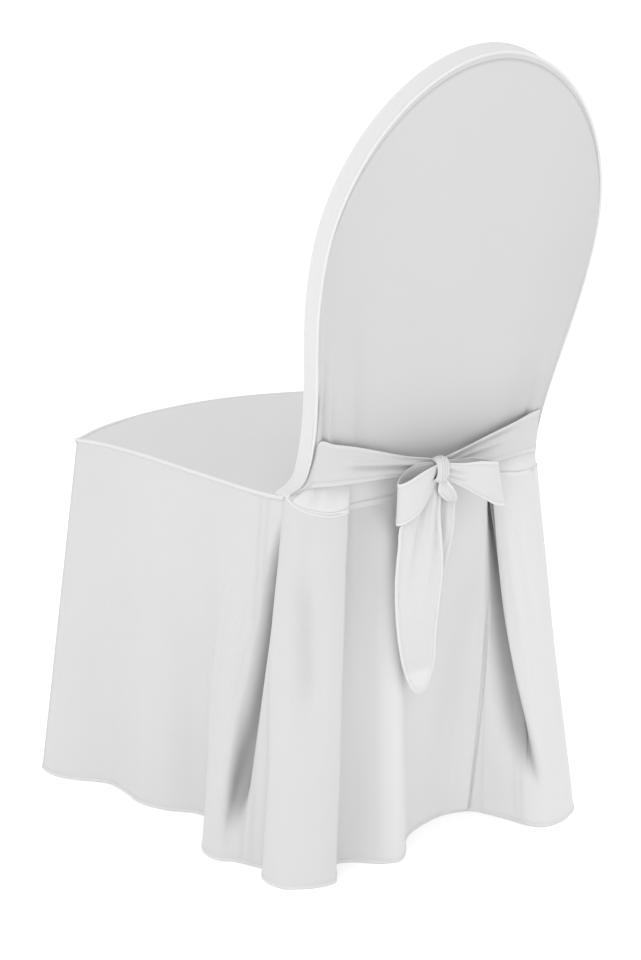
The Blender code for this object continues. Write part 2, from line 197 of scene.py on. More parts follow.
# Fold lines of the gathered skirt from its left seam round to its right seam: where each leaves the
# waist, where it reaches the hem, and how round the cloth turns there, from 0 for a pressed edge to 1
GATHERED_FOLDS = [
    # top_x, top_y, top_z, hem_x, hem_y, roundness
    (0.1856, 0.219, 0.4676, 0.1927, 0.184, 1.0),
    (0.185, 0.2262, 0.468, 0.209, 0.208, 1.0),
    (0.176, 0.232, 0.457, 0.205, 0.242, 1.0),
    (0.156, 0.234, 0.4472, 0.183, 0.258, 1.0),
    (0.128, 0.2345, 0.4402, 0.157, 0.2655, 1.0),
    (0.105, 0.2335, 0.4418, 0.1405, 0.2625, 0.15),
    (0.101, 0.223, 0.4412, 0.1285, 0.244, 1.0),
    (0.093, 0.2185, 0.4405, 0.115, 0.219, 1.0),
    (0.074, 0.22, 0.4415, 0.093, 0.223, 1.0),
    (0.056, 0.223, 0.4425, 0.063, 0.248, 1.0),
    (0.04, 0.223, 0.443, 0.041, 0.2525, 1.0),
    (0.027, 0.22, 0.4437, 0.023, 0.237, 1.0),
    (0.012, 0.2185, 0.4444, 0.006, 0.212, 1.0),
    (-0.01, 0.219, 0.4452, -0.014, 0.193, 1.0),
    (-0.04, 0.2195, 0.4465, -0.045, 0.177, 1.0),
    (-0.07, 0.2195, 0.4478, -0.078, 0.1665, 1.0),
    (-0.09, 0.2195, 0.4488, -0.105, 0.1665, 1.0),
    (-0.1, 0.219, 0.4493, -0.122, 0.1735, 1.0),
    (-0.105, 0.2185, 0.4496, -0.136, 0.199, 1.0),
    (-0.1095, 0.2185, 0.4498, -0.147, 0.229, 1.0),
    (-0.1145, 0.222, 0.45, -0.156, 0.253, 1.0),
    (-0.124, 0.226, 0.4505, -0.17, 0.265, 1.0),
    (-0.142, 0.2275, 0.4488, -0.196, 0.263, 1.0),
    (-0.16, 0.227, 0.4502, -0.222, 0.25, 1.0),
    (-0.168, 0.225, 0.452, -0.235, 0.24, 1.0),
    (-0.1725, 0.2222, 0.454, -0.242, 0.229, 1.0),
    (-0.1842, 0.2125, 0.4555, -0.244, 0.215, 1.0),
    (-0.1872, 0.2006, 0.4552, -0.242, 0.1994, 1.0),
]
WAIST_FIRST_FOLD = 1
WAIST_SPANS = 24

# Fold lines of the side skirts from the front corner to the rear seam: how far back along the seat's
# edge each starts, and where it reaches the hem
LEFT_FOLDS = [
    # top_y, hem_x, hem_y
    (-0.206, 0.272, -0.2525),
    (-0.19, 0.2715, -0.224),
    (-0.165, 0.256, -0.195),
    (-0.13, 0.223, -0.158),
    (-0.095, 0.219, -0.115),
    (-0.055, 0.221, -0.076),
    (-0.015, 0.204, -0.039),
    (0.025, 0.174, -0.006),
    (0.055, 0.169, 0.028),
    (0.085, 0.193, 0.06),
    (0.112, 0.222, 0.086),
    (0.136, 0.23, 0.112),
    (0.156, 0.2245, 0.133),
    (0.172, 0.211, 0.146),
    (0.19, 0.2025, 0.163),
    (0.213, 0.1925, 0.183),
    (0.22, 0.188, 0.19),
]
RIGHT_FOLDS = [
    # top_y, hem_x, hem_y
    (-0.206, -0.272, -0.2525),
    (-0.19, -0.27, -0.223),
    (-0.16, -0.254, -0.188),
    (-0.12, -0.23, -0.142),
    (-0.08, -0.225, -0.096),
    (-0.035, -0.241, -0.052),
    (0.005, -0.247, -0.014),
    (0.045, -0.228, 0.027),
    (0.08, -0.21, 0.062),
    (0.115, -0.218, 0.096),
    (0.145, -0.24, 0.126),
    (0.175, -0.244, 0.162),
    (0.1998, -0.242, 0.1985),
    (0.206, -0.238, 0.205),
]
FRONT_FOLDS = [
    # top_share of the half width, hem_x, hem_y
    (-1.0, -0.272, -0.2525),
    (-0.86, -0.238, -0.257),
    (-0.66, -0.185, -0.254),
    (-0.44, -0.124, -0.268),
    (-0.2, -0.058, -0.277),
    (0.04, 0.008, -0.269),
    (0.28, 0.076, -0.265),
    (0.5, 0.137, -0.276),
    (0.7, 0.192, -0.272),
    (0.86, 0.235, -0.26),
    (1.0, 0.272, -0.2525),
]

# The ties, between a side seam and the knot: the top and bottom edge and how far behind the back's
# plane each edge stands
LEFT_TIE = [
    # top_x, top_z, bottom_x, bottom_z, top_out, bottom_out
    (0.1842, 0.4735, 0.1848, 0.4715, 0.003, 0.0034),
    (0.166, 0.485, 0.1655, 0.4778, 0.003, 0.0044),
    (0.1602, 0.509, 0.16, 0.4788, 0.003, 0.005),
    (0.1562, 0.5352, 0.156, 0.479, 0.003, 0.0054),
    (0.138, 0.531, 0.134, 0.478, 0.0066, 0.0086),
    (0.108, 0.524, 0.103, 0.4782, 0.009, 0.012),
    (0.074, 0.5142, 0.072, 0.4788, 0.011, 0.015),
    (0.042, 0.5049, 0.042, 0.4797, 0.015, 0.0175),
    (0.005, 0.4985, 0.005, 0.483, 0.0245, 0.0245),
]
RIGHT_TIE = [
    # top_x, top_z, bottom_x, bottom_z, top_out, bottom_out
    (-0.005, 0.497, -0.005, 0.4815, 0.0245, 0.0245),
    (-0.04, 0.5035, -0.04, 0.479, 0.015, 0.0165),
    (-0.072, 0.5125, -0.072, 0.4778, 0.011, 0.014),
    (-0.105, 0.5222, -0.103, 0.4772, 0.009, 0.012),
    (-0.134, 0.5305, -0.133, 0.479, 0.0066, 0.009),
    (-0.156, 0.535, -0.162, 0.4797, 0.003, 0.0048),
]

# The bow's middle, where the ties, loops and free ends meet
KNOT_Z = 0.4860
KNOT_OUT = 0.0340
KNOT_SIZE = (0.0175, 0.0200, 0.0300)
KNOT_RIB = 0.0007
KNOT_FINE_RIB = 0.0003
KNOT_ROUNDNESS = 0.8

# Each loop's path from the knot out and back to it, with its middle height and half its height there,
# and how far along x its top edge stands from its middle
LEFT_LOOP = [
    # x, out, middle_z, half_height, lean
    (0.004, 0.031, 0.486, 0.01, 0.0),
    (0.03, 0.0275, 0.479, 0.016, 0.002),
    (0.045, 0.03, 0.466, 0.0215, 0.003),
    (0.0555, 0.038, 0.457, 0.0255, 0.004),
    (0.0595, 0.044, 0.4512, 0.0278, 0.0048),
    (0.0565, 0.0485, 0.452, 0.0275, 0.0055),
    (0.047, 0.0515, 0.4565, 0.027, 0.0065),
    (0.03, 0.049, 0.4665, 0.024, 0.006),
    (0.004, 0.037, 0.484, 0.011, 0.0),
]
RIGHT_LOOP = [
    # x, out, middle_z, half_height, lean
    (-0.004, 0.037, 0.484, 0.01, 0.0),
    (-0.027, 0.047, 0.477, 0.016, 0.002),
    (-0.05, 0.052, 0.469, 0.0245, 0.006),
    (-0.074, 0.052, 0.46, 0.0305, 0.01),
    (-0.087, 0.046, 0.457, 0.0305, 0.0125),
    (-0.08, 0.037, 0.459, 0.029, 0.011),
    (-0.056, 0.03, 0.47, 0.0225, 0.006),
    (-0.034, 0.028, 0.478, 0.015, 0.002),
    (-0.004, 0.031, 0.486, 0.01, 0.0),
]

# The free ends, from the knot down to the tip: the left and right edges and how far back they hang
LONG_END = [
    # z, left_x, right_x, y
    (0.474, 0.006, -0.006, 0.265),
    (0.45, 0.029, -0.006, 0.261),
    (0.425, 0.05, -0.007, 0.259),
    (0.395, 0.054, -0.01, 0.259),
    (0.36, 0.057, -0.012, 0.2585),
    (0.325, 0.056, -0.009, 0.2575),
    (0.285, 0.0515, -0.005, 0.2565),
    (0.25, 0.044, -0.004, 0.2555),
    (0.225, 0.034, 0.003, 0.255),
    (0.213, 0.0255, 0.0095, 0.2546),
    (0.21, 0.019, 0.015, 0.2545),
]
SHORT_END = [
    # z, left_x, right_x, y
    (0.474, 0.003, -0.008, 0.259),
    (0.448, 0.005, -0.033, 0.2505),
    (0.425, 0.007, -0.0342, 0.25),
    (0.396, 0.007, -0.032, 0.249),
    (0.365, 0.006, -0.025, 0.2485),
    (0.32, 0.001, -0.0165, 0.248),
]

# The short end's turned-over top, which lies on it just under the knot
TURNED_TOP = [
    # z, left_x, right_x, y
    (0.476, 0.001, -0.008, 0.2665),
    (0.469, 0.0035, -0.011, 0.269),
    (0.46, 0.0045, -0.019, 0.2685),
    (0.453, -0.002, -0.025, 0.265),
    (0.446, -0.011, -0.03, 0.26),
    (0.441, -0.021, -0.031, 0.256),
]

# Soft creases, each along a bowed line between two places on its sheet: how wide it is at its start and
# its end, the width on the side of the larger first coordinate as a share of the other side's, how far
# the cloth stands out there, and the shares of its length over which it comes in and dies out.
GATHERED_CREASES = [
    # start_across, start_z, end_across, end_z, bow, start_width, end_width, far_share, depth, fades
    (0.008, 0.46, 0.012, 0.1, 0.0, 0.014, 0.02, 1.0, 0.006, 0.45, 0.6),
    (0.06, 0.43, 0.069, 0.14, 0.0, 0.015, 0.018, 1.0, -0.0085, 0.35, 0.45),
    (0.205, 0.44, 0.21, 0.15, 0.0, 0.018, 0.022, 1.0, 0.009, 0.15, 0.6),
    (0.3, 0.44, 0.3, 0.05, 0.0, 0.045, 0.05, 1.0, 0.011, 0.35, 0.6),
    (0.227, 0.44, 0.226, 0.0, -0.006, 0.01, 0.014, 0.25, 0.003, 0.2, 0.1),
    (0.388, 0.31, 0.372, 0.0, 0.0, 0.012, 0.014, 0.07, 0.005, 0.25, 0.02),
    (0.39, 0.31, 0.374, 0.0, 0.0, 0.001, 0.001, 1.0, -0.003, 0.25, 0.02),
    (0.403, 0.44, 0.443, 0.02, -0.014, 0.006, 0.027, 0.22, -0.026, 0.05, 0.3),
    (0.4085, 0.44, 0.45, 0.02, -0.014, 0.003, 0.007, 0.6, -0.013, 0.05, 0.3),
    (0.43, 0.43, 0.456, 0.03, -0.004, 0.005, 0.008, 1.0, 0.0016, 0.2, 0.3),
    (0.448, 0.43, 0.472, 0.12, 0.0, 0.005, 0.006, 1.0, -0.0014, 0.1, 0.6),
]
LEFT_SKIRT_CREASES = [
    # start_across, start_z, end_across, end_z, bow, start_width, end_width, far_share, depth, fades
    (0.453, 0.45, 0.396, 0.0, -0.004, 0.004, 0.012, 1.0, -0.027, 0.2, 0.25),
    (0.366, 0.39, 0.345, 0.12, -0.006, 0.003, 0.003, 1.0, 0.0011, 0.3, 0.4),
    (0.374, 0.38, 0.356, 0.15, -0.004, 0.003, 0.003, 1.0, -0.0009, 0.3, 0.4),
    (0.397, 0.375, 0.389, 0.23, 0.0, 0.003, 0.003, 1.0, 0.0011, 0.3, 0.4),
    (0.44, 0.43, 0.374, 0.125, -0.004, 0.003, 0.004, 1.0, 0.0015, 0.15, 0.4),
]


def straight(creases):
    """Rows of creases with no bow and even sides, from rows that leave these two numbers out."""
    return [(*row[:4], 0.0, *row[4:6], 1.0, *row[6:]) for row in creases]


# Straight creases: start, end, start_width, end_width, depth, fades. Places on the back, the ties and the
# ends are x and z, and those on the loops are a length along the loop and z.
REAR_CREASES = straight([
    (0.1592, 0.52, 0.1672, 0.63, 0.0022, 0.0022, -0.005, 0.05, 0.6),
    (0.153, 0.52, 0.172, 0.67, 0.0036, 0.003, 0.0022, 0.05, 0.6),
    (0.1465, 0.52, 0.166, 0.65, 0.003, 0.003, -0.0026, 0.05, 0.6),
    (0.14, 0.52, 0.158, 0.63, 0.0034, 0.0034, 0.0016, 0.05, 0.6),
    (0.132, 0.52, 0.148, 0.61, 0.004, 0.004, -0.0014, 0.05, 0.6),
    (-0.139, 0.52, -0.146, 0.62, 0.004, 0.003, -0.0024, 0.05, 0.6),
    (-0.148, 0.52, -0.156, 0.62, 0.004, 0.003, 0.0018, 0.05, 0.6),
    (0.1395, 0.48, 0.15, 0.45, 0.0018, 0.0022, -0.0018, 0.1, 0.3),
    (0.144, 0.48, 0.1545, 0.451, 0.0018, 0.0022, 0.0012, 0.1, 0.3),
    (0.148, 0.48, 0.159, 0.452, 0.0018, 0.0022, -0.0018, 0.1, 0.3),
    (0.133, 0.48, 0.143, 0.449, 0.002, 0.0026, 0.001, 0.1, 0.3),
    (-0.15, 0.48, -0.156, 0.46, 0.002, 0.0026, -0.0016, 0.1, 0.3),
])
LEFT_TIE_CREASES = straight([
    (0.128, 0.501, 0.015, 0.486, 0.0026, 0.0022, -0.0036, 0.3, 0.05),
    (0.135, 0.507, 0.015, 0.491, 0.0034, 0.0024, 0.0026, 0.3, 0.05),
    (0.14, 0.492, 0.015, 0.482, 0.004, 0.0022, 0.0022, 0.3, 0.05),
    (0.15, 0.522, 0.06, 0.503, 0.0045, 0.0035, -0.001, 0.3, 0.3),
])
RIGHT_TIE_CREASES = straight([
    (-0.015, 0.494, -0.145, 0.532, 0.003, 0.0036, 0.0026, 0.05, 0.2),
    (-0.015, 0.49, -0.135, 0.522, 0.002, 0.0026, -0.0034, 0.05, 0.3),
    (-0.015, 0.487, -0.125, 0.507, 0.0026, 0.0034, 0.0024, 0.05, 0.4),
    (-0.015, 0.485, -0.12, 0.499, 0.002, 0.0026, -0.0026, 0.05, 0.4),
    (-0.015, 0.483, -0.155, 0.486, 0.0022, 0.0036, 0.0024, 0.05, 0.2),
])
LONG_END_CREASES = straight([
    (0.014, 0.47, 0.032, 0.34, 0.003, 0.006, -0.0046, 0.1, 0.6),
    (0.004, 0.47, 0.016, 0.29, 0.004, 0.007, 0.0036, 0.1, 0.6),
    (-0.003, 0.47, -0.002, 0.35, 0.0022, 0.004, -0.004, 0.1, 0.6),
    (0.03, 0.44, 0.044, 0.33, 0.004, 0.006, 0.0018, 0.3, 0.6),
])
SHORT_END_CREASES = straight([
    (-0.014, 0.455, -0.016, 0.37, 0.004, 0.0045, -0.003, 0.1, 0.5),
    (-0.024, 0.452, -0.022, 0.38, 0.004, 0.0045, 0.0024, 0.1, 0.5),
])
TURNED_TOP_CREASES = straight([
    (-0.004, 0.472, -0.014, 0.452, 0.0018, 0.003, -0.0014, 0.1, 0.4),
    (-0.008, 0.472, -0.022, 0.455, 0.0018, 0.003, 0.0014, 0.1, 0.4),
])
LEFT_LOOP_CREASES = straight([
    (0.16, 0.486, 0.112, 0.466, 0.0022, 0.0045, -0.002, 0.1, 0.6),
    (0.16, 0.48, 0.118, 0.45, 0.0022, 0.004, 0.0018, 0.1, 0.6),
])
RIGHT_LOOP_CREASES = straight([
    (0.004, 0.484, 0.036, 0.477, 0.0016, 0.0022, -0.0026, 0.1, 0.5),
    (0.004, 0.481, 0.034, 0.471, 0.0016, 0.0024, 0.0022, 0.1, 0.5),
    (0.004, 0.478, 0.038, 0.465, 0.0016, 0.0026, -0.0026, 0.1, 0.5),
    (0.004, 0.488, 0.045, 0.489, 0.0022, 0.003, 0.0014, 0.1, 0.6),
])

# Stretches of the skirts with sharp folds, as distances across them, which get closer columns
GATHERED_SHARP = [(0.118, 0.160), (0.218, 0.236), (0.370, 0.425)]
LEFT_SHARP = [(0.330, 0.490)]
# The stretch across the gathered skirt whose pleats hang two layers deep, which gets painted light
GATHERED_PLEATED = (0.185, 0.700)

# The rolled seam between two panels, as it goes from inside one panel over the corner and back:
# how far past the corner it stands along the panel's plane and across it
SEAM_ROLL = [
    # past, proud
    (-0.0036, 0.0),
    (-0.0026, 0.0002),
    (-0.0016, 0.0009),
    (-0.0006, 0.0014),
    (0.0004, 0.0013),
    (0.0011, 0.0006),
    (0.0013, -0.0004),
    (0.001, -0.0014),
    (0.0002, -0.0022),
]
SEAT_ROLL_SCALE = 1.5
WAIST_ROLL_SCALE = 0.6
# Where on a rolled seam its painted highlight peaks, and how wide it is
ROLL_CREST = 0.0040
ROLL_CREST_WIDTH = 0.0016

# A hem, as shares of its width, with the dip and the puckers that its stitches make as shares of its lift
HEM_RISE = 0.25
HEM_FALL = 0.35
STITCH_SHARE = 0.82
STITCH_DIP = 0.45
STITCH_DIP_WIDTH = 0.10
PUCKER = 0.5
PUCKER_REACH = 2.2
PUCKER_SIZE = 0.012
PUCKER_SEED = 5
SASH_HEM_SHARE = 0.7
STITCH_LIFT = 0.0002

# How each sheet is cut: its slot, the node it stands for, its flat size, how it is held, and its flat
# area where the cut piece is no rectangle
CUTS = {
    "rear_panel": ("cover_cloth", "back_rear", (0.372, 0.53), "stretched", 0.165),
    "front_panel": ("cover_cloth", "back_front", (0.372, 0.53), "stretched", 0.165),
    "boxing_strip": ("cover_cloth", "back_boxing", (0.034, 1.37), "stretched", None),
    "seat_top": ("cover_cloth", "seat", (0.46, 0.43), "stretched", None),
    "side_skirt_left": ("cover_cloth", "skirt_left", (0.49, 0.465), "hung", None),
    "side_skirt_right": ("cover_cloth", "skirt_right", (0.46, 0.465), "hung", None),
    "front_skirt": ("cover_cloth", "skirt_front", (0.55, 0.475), "hung", None),
    "gathered_skirt": ("cover_cloth", "skirt_rear", (0.66, 0.455), "gathered", 0.245),
    "tie_left": ("sash_cloth", "sash_left", (0.165, 0.05), "gathered", 0.0058),
    "tie_right": ("sash_cloth", "sash_right", (0.165, 0.05), "gathered", 0.0058),
    "loop_left": ("sash_cloth", "bow_loop_left", (0.175, 0.052), "folded", 0.0066),
    "loop_right": ("sash_cloth", "bow_loop_right", (0.175, 0.052), "folded", 0.0066),
    "knot_wrap": ("sash_cloth", "bow_knot", (0.0175, 0.085), "folded", None),
    "long_end": ("sash_cloth", "sash_tail_long", (0.069, 0.264), "hung", 0.0148),
    "short_end": ("sash_cloth", "sash_tail_short", (0.043, 0.175), "hung", 0.0060),
}
# The cloth of each slot: its material, the setting with its colour, and its roughness
CLOTHS = {
    "cover_cloth": ("stretch_knit", "cloth_colour", 0.62),
    "sash_cloth": ("sash_knit", "sash_colour", 0.55),
}

# The photograph's point of view
CAMERA_PLACE = (1.535, 2.040, 0.192)
CAMERA_TARGET = (-0.006, -0.3611, -0.5588)
CAMERA_LENS = 87.75
CAMERA_HEIGHT = 36.0

# The floor and the light
FLOOR_HALF = 40.0
SKY_STRENGTH = 1.01
FLOOR_GLOW = 0.22
SIDE_LIGHT_PLACE = (2.2, 1.85, 1.3)
SIDE_LIGHT_SIZE = 2.4
SIDE_LIGHT_POWER = 18.0


def colour_setting(name, description, default):
    """A colour that a user would change."""
    return bpy.props.FloatVectorProperty(
        name=name, description=description, default=default, subtype="COLOR", min=0.0, max=1.0
    )


def length_setting(name, description, default):
    """A length that a user would change."""
    return bpy.props.FloatProperty(name=name, description=description, default=default, unit="LENGTH")


class CoverSettings(bpy.types.PropertyGroup):
    """Sizes and colours of the cloth that a user would change."""

    cloth_colour: colour_setting("Cover cloth", "Colour of the cover's cloth", (0.645, 0.645, 0.650))
    sash_colour: colour_setting("Sash cloth", "Colour of the sash's cloth", (0.680, 0.680, 0.685))
    thread_colour: colour_setting("Thread", "Colour of the sewing thread", (0.68, 0.68, 0.68))
    thickness: length_setting("Cloth thickness", "Thickness of one layer of cloth", 0.0009)
    hem_width: length_setting("Hem width", "Height of the folded and stitched hem", 0.0055)
    hem_lift: length_setting("Hem lift", "How far the folded hem stands out from the cloth", 0.0008)
    stitch_pitch: length_setting("Stitch pitch", "Distance from one stitch to the next", 0.0032)
    stitch_length: length_setting("Stitch length", "Length of one stitch", 0.0022)
    thread_width: length_setting("Thread width", "Thickness of the sewing thread", 0.0005)
    knit_pitch: length_setting("Knit pitch", "Distance from one row of the knit to the next", 0.0008)


def smooth(share):
    """An even step from 0 to 1 as the share goes from 0 to 1."""
    share = np.clip(share, 0.0, 1.0)
    return share * share * (3.0 - 2.0 * share)


def curve_through(rows, steps, roundness=None):
    """Points on a smooth curve through the rows, with so many steps from each row to the next."""
    rows = np.asarray(rows, float)
    gaps = np.linalg.norm(np.diff(rows, axis=0), axis=1) ** 0.5
    knots = np.concatenate([[0.0], np.cumsum(gaps)])
    slopes = np.gradient(rows, knots, axis=0)
    if roundness is not None:
        slopes = slopes * np.asarray(roundness, float)[:, None]
    share = np.arange(steps) / steps
    weights = np.stack(
        [
            2 * share**3 - 3 * share**2 + 1,
            share**3 - 2 * share**2 + share,
            3 * share**2 - 2 * share**3,
            share**3 - share**2,
        ],
        axis=1,
    )
    pieces = []
    for k, gap in enumerate(gaps):
        pieces.append(weights @ np.stack([rows[k], gap * slopes[k], rows[k + 1], gap * slopes[k + 1]]))
    return np.concatenate([*pieces, rows[-1:]])


def at_places(points, places):
    """Points of a polyline at places counted in its points, between which it is straight."""
    counts = np.arange(len(points))
    return np.stack([np.interp(places, counts, points[:, axis]) for axis in range(points.shape[1])], axis=1)


def shares_with_fine_ends(length, coarse, fine, reach):
    """Shares of a length that lie close together near both its ends."""
    ends = np.arange(0.0, reach, fine)
    middle = np.linspace(reach, length - reach, max(2, round((length - 2 * reach) / coarse)))
    return np.concatenate([ends, middle, length - ends[::-1]]) / length


def lengths_along(points):
    """How far along a polyline each of its points lies."""
    return np.concatenate([[0.0], np.cumsum(np.linalg.norm(np.diff(points, axis=0), axis=1))])


def rear_y(z):
    """Where the plane of the back's rear side stands at a height."""
    return BACK_FOOT_Y + math.tan(BACK_LEAN) * (z - SEAT_HEIGHT)


def behind_back(x, z, out):
    """Points a distance out behind the plane of the back's rear side."""
    x, z, out = np.broadcast_arrays(x, z, out)
    return np.stack([x, rear_y(z) + out, z], axis=-1)


def seat_half(y):
    """Half the seat's width at a distance from front to rear."""
    share = (y - SEAT_FRONT_Y) / (SEAT_REAR_Y - SEAT_FRONT_Y)
    return SEAT_FRONT_HALF + share * (SEAT_REAR_HALF - SEAT_FRONT_HALF)


def seat_side_z(y, side):
    """Height of the seat's side edge, which dips to its front corner, and on the right to the rear too."""
    line = curve_through(SEAT_SIDE_LINE, OUTLINE_STEPS)
    to_rear = smooth((y - SEAT_RIGHT_DROP_START) / (SEAT_REAR_Y - SEAT_RIGHT_DROP_START))
    return np.interp(y, line[:, 0], line[:, 1]) - np.where(side < 0, SEAT_RIGHT_DROP, 0.0) * to_rear


def seat_front_point(share):
    """A point on the seat's bowed front edge, at a share of its half width."""
    rise = 1.0 - share**2
    corner_drop = SEAT_SIDE_LINE[0][1] - SEAT_HEIGHT
    z = SEAT_HEIGHT + SEAT_FRONT_RISE * rise + corner_drop * share**CORNER_POWER
    return share * SEAT_FRONT_HALF, SEAT_FRONT_Y - SEAT_FRONT_BOW * rise, z


def back_outline():
    """The back's rear outline as x and z, from the left foot over the crown to the right foot."""
    rise = BACK_TOP_Z - BACK_WIDEST_Z
    crown = []
    for step in range(1, 2 * CROWN_STEPS):
        turn = math.pi / 2 * step / CROWN_STEPS
        across = math.copysign(abs(math.cos(turn)) ** (2 / CROWN_POWER), math.cos(turn))
        up = math.sin(turn) ** (2 / CROWN_POWER)
        crown.append((BACK_WIDEST_HALF * across, BACK_WIDEST_Z + rise * up))
    return BACK_LEFT_SIDE + crown + BACK_RIGHT_SIDE[::-1]


def on_back(x, z, depth):
    """Points of the rear outline moved forward by a depth, down to the seat at the outline's foot."""
    x, z, depth = np.broadcast_arrays(x, z, depth)
    settled = np.clip(1.0 - (z - BACK_FOOT_Z) / BACK_FOOT_REACH, 0.0, None)
    drop = (BACK_FOOT_Z - SEAT_HEIGHT - SOLID_CLOTH * math.sin(BACK_LEAN)) * depth / BACK_DEPTH
    rise = depth * math.sin(BACK_LEAN)
    level = z + rise * (1.0 - settled) - drop * settled
    return np.stack([x, rear_y(z) - depth * math.cos(BACK_LEAN), level], axis=-1)


def under_crown():
    """The middle of the crown's inner side, where the model has its origin."""
    x, y, z = on_back(0.0, BACK_TOP_Z, BACK_DEPTH / 2)
    return np.array([x, y - SOLID_CLOTH * math.sin(BACK_LEAN), z - SOLID_CLOTH * math.cos(BACK_LEAN)])


def placed(points):
    """The points moved from the maker's frame into the model's frame."""
    return np.asarray(points, float) - under_crown()


def normals_of(grid):
    """The outward direction at each point of a grid of rows going up and columns going right."""
    outward = np.cross(np.gradient(grid, axis=1), np.gradient(grid, axis=0))
    return outward / np.maximum(np.linalg.norm(outward, axis=2, keepdims=True), 1e-12)


def lifted(grid, height):
    """The grid with its points moved outward, each by its height."""
    return grid + normals_of(grid) * np.asarray(height)[..., None]


def flat_sizes(grid):
    """Each grid point's place on the flat cloth, from lengths along the middle row and middle column."""
    across = lengths_along(grid[grid.shape[0] // 2])
    up = lengths_along(grid[:, grid.shape[1] // 2])
    return np.stack(np.meshgrid(across, up), axis=-1)


def creased(plane, creases):
    """How far soft creases lift a sheet, each along a bowed line between two places in its plane."""
    height = np.zeros(plane.shape[:2])
    for *ends, bow, start_width, end_width, far_share, depth, start_fade, end_fade in creases:
        start = np.array(ends[:2])
        run = np.array(ends[2:]) - start
        length = math.hypot(*run)
        larger = np.array([-run[1], run[0]]) / length
        larger = larger if larger[0] >= 0 else -larger
        along = (plane - start) @ run / length**2
        inside = np.clip(along, 0.0, 1.0)
        aside = (plane - start) @ larger - bow * 4.0 * inside * (1.0 - inside)
        width = start_width + inside * (end_width - start_width)
        width = np.where(aside > 0.0, far_share * width, width)
        fade = smooth(along / start_fade) * smooth((1.0 - along) / end_fade)
        height += depth * np.exp(-((aside / width) ** 2)) * fade
    return height


def uneven(plane, size, depth, seed):
    """Low soft lumps of about a size, for cloth that never hangs quite flat."""
    draw = np.random.default_rng(seed)
    height = np.zeros(plane.shape[:2])
    for _ in range(LUMP_WAVES):
        turn = draw.uniform(0.0, math.pi)
        pitch = size * draw.uniform(0.8, 2.2)
        phase = draw.uniform(0.0, 2.0 * math.pi)
        wave = np.array([math.cos(turn), math.sin(turn)]) / pitch
        height += np.cos(2.0 * math.pi * (plane @ wave) + phase)
    return depth * height / LUMP_WAVES


def edge_distance(flat, sides):
    """Distance on the flat cloth to the nearest of the named sides of a grid."""
    width, height = flat[-1, -1]
    gaps = {
        "bottom": flat[..., 1],
        "top": height - flat[..., 1],
        "left": flat[..., 0],
        "right": width - flat[..., 0],
    }
    return np.min([gaps[side] for side in sides], axis=0)


def hem_lift(distance, settings, flat):
    """How far a hem folded back under the edge lifts the cloth, with a dip where it is stitched."""
    width = settings.hem_width
    lift = settings.hem_lift
    rise = lift * smooth(distance / (HEM_RISE * width))
    band = rise * (1.0 - smooth((distance - width) / (HEM_FALL * width)))
    from_stitches = (distance - STITCH_SHARE * width) / (STITCH_DIP_WIDTH * width)
    dip = -STITCH_DIP * lift * np.exp(-(from_stitches**2))
    near = np.exp(-((distance / (PUCKER_REACH * width)) ** 2))
    return band + dip + uneven(flat, PUCKER_SIZE, PUCKER * lift, PUCKER_SEED) * near


def hem_band(distance, settings):
    """How much whiter a hemmed edge is painted: partly its doubled cloth, partly a painted highlight."""
    return HEM_DOUBLED_AND_PAINTED_HIGHLIGHT * (1.0 - smooth((distance - 0.3 * settings.hem_width) / (0.9 * settings.hem_width)))


def seam_band(distance, scale=1.0):
    """A painted highlight on a rolled seam, which also stands for its doubled cloth: 1 on the crest of the
    roll and 0 past it.
    """
    return np.exp(-(((distance / scale - ROLL_CREST) / ROLL_CREST_WIDTH) ** 2))


def with_roll(grid, side, scale=1.0):
    """The grid with one side's last few millimetres replaced by a rolled seam that turns under.

    The roll's points lie past the side by their first size, along the cloth, and stand out of it by
    their second.
    """
    upright = side in ("left", "right")
    last = side in ("top", "right")
    rows, outward = grid, normals_of(grid)
    if upright:
        rows, outward = rows.transpose(1, 0, 2), outward.transpose(1, 0, 2)
    if not last:
        rows, outward = rows[::-1], outward[::-1]
    roll = scale * np.array(SEAM_ROLL)
    edge = rows[-1]
    lengths = np.linalg.norm(rows - edge, axis=2).mean(axis=1)
    kept = int(np.argmax(lengths < -roll[0, 0])) - 1
    ahead = edge - rows[kept]
    ahead /= np.maximum(np.linalg.norm(ahead, axis=1, keepdims=True), 1e-12)
    rolled = np.array([edge + past * ahead + proud * outward[kept] for past, proud in roll])
    joined = np.concatenate([rows[: kept + 1], rolled])
    joined = joined if last else joined[::-1]
    return joined.transpose(1, 0, 2) if upright else joined


class Value:
    """An output of a shader node. Sums and products of values add the Math nodes that they need."""

    def __init__(self, look, output):
        self.look = look
        self.output = output

    def math(self, operation, other=None):
        values = {0: self} if other is None else {0: self, 1: other}
        return self.look.add("ShaderNodeMath", {"operation": operation}, values)

    def __add__(self, other):
        return self.math("ADD", other)

    __radd__ = __add__

    def __mul__(self, other):
        return self.math("MULTIPLY", other)

    __rmul__ = __mul__


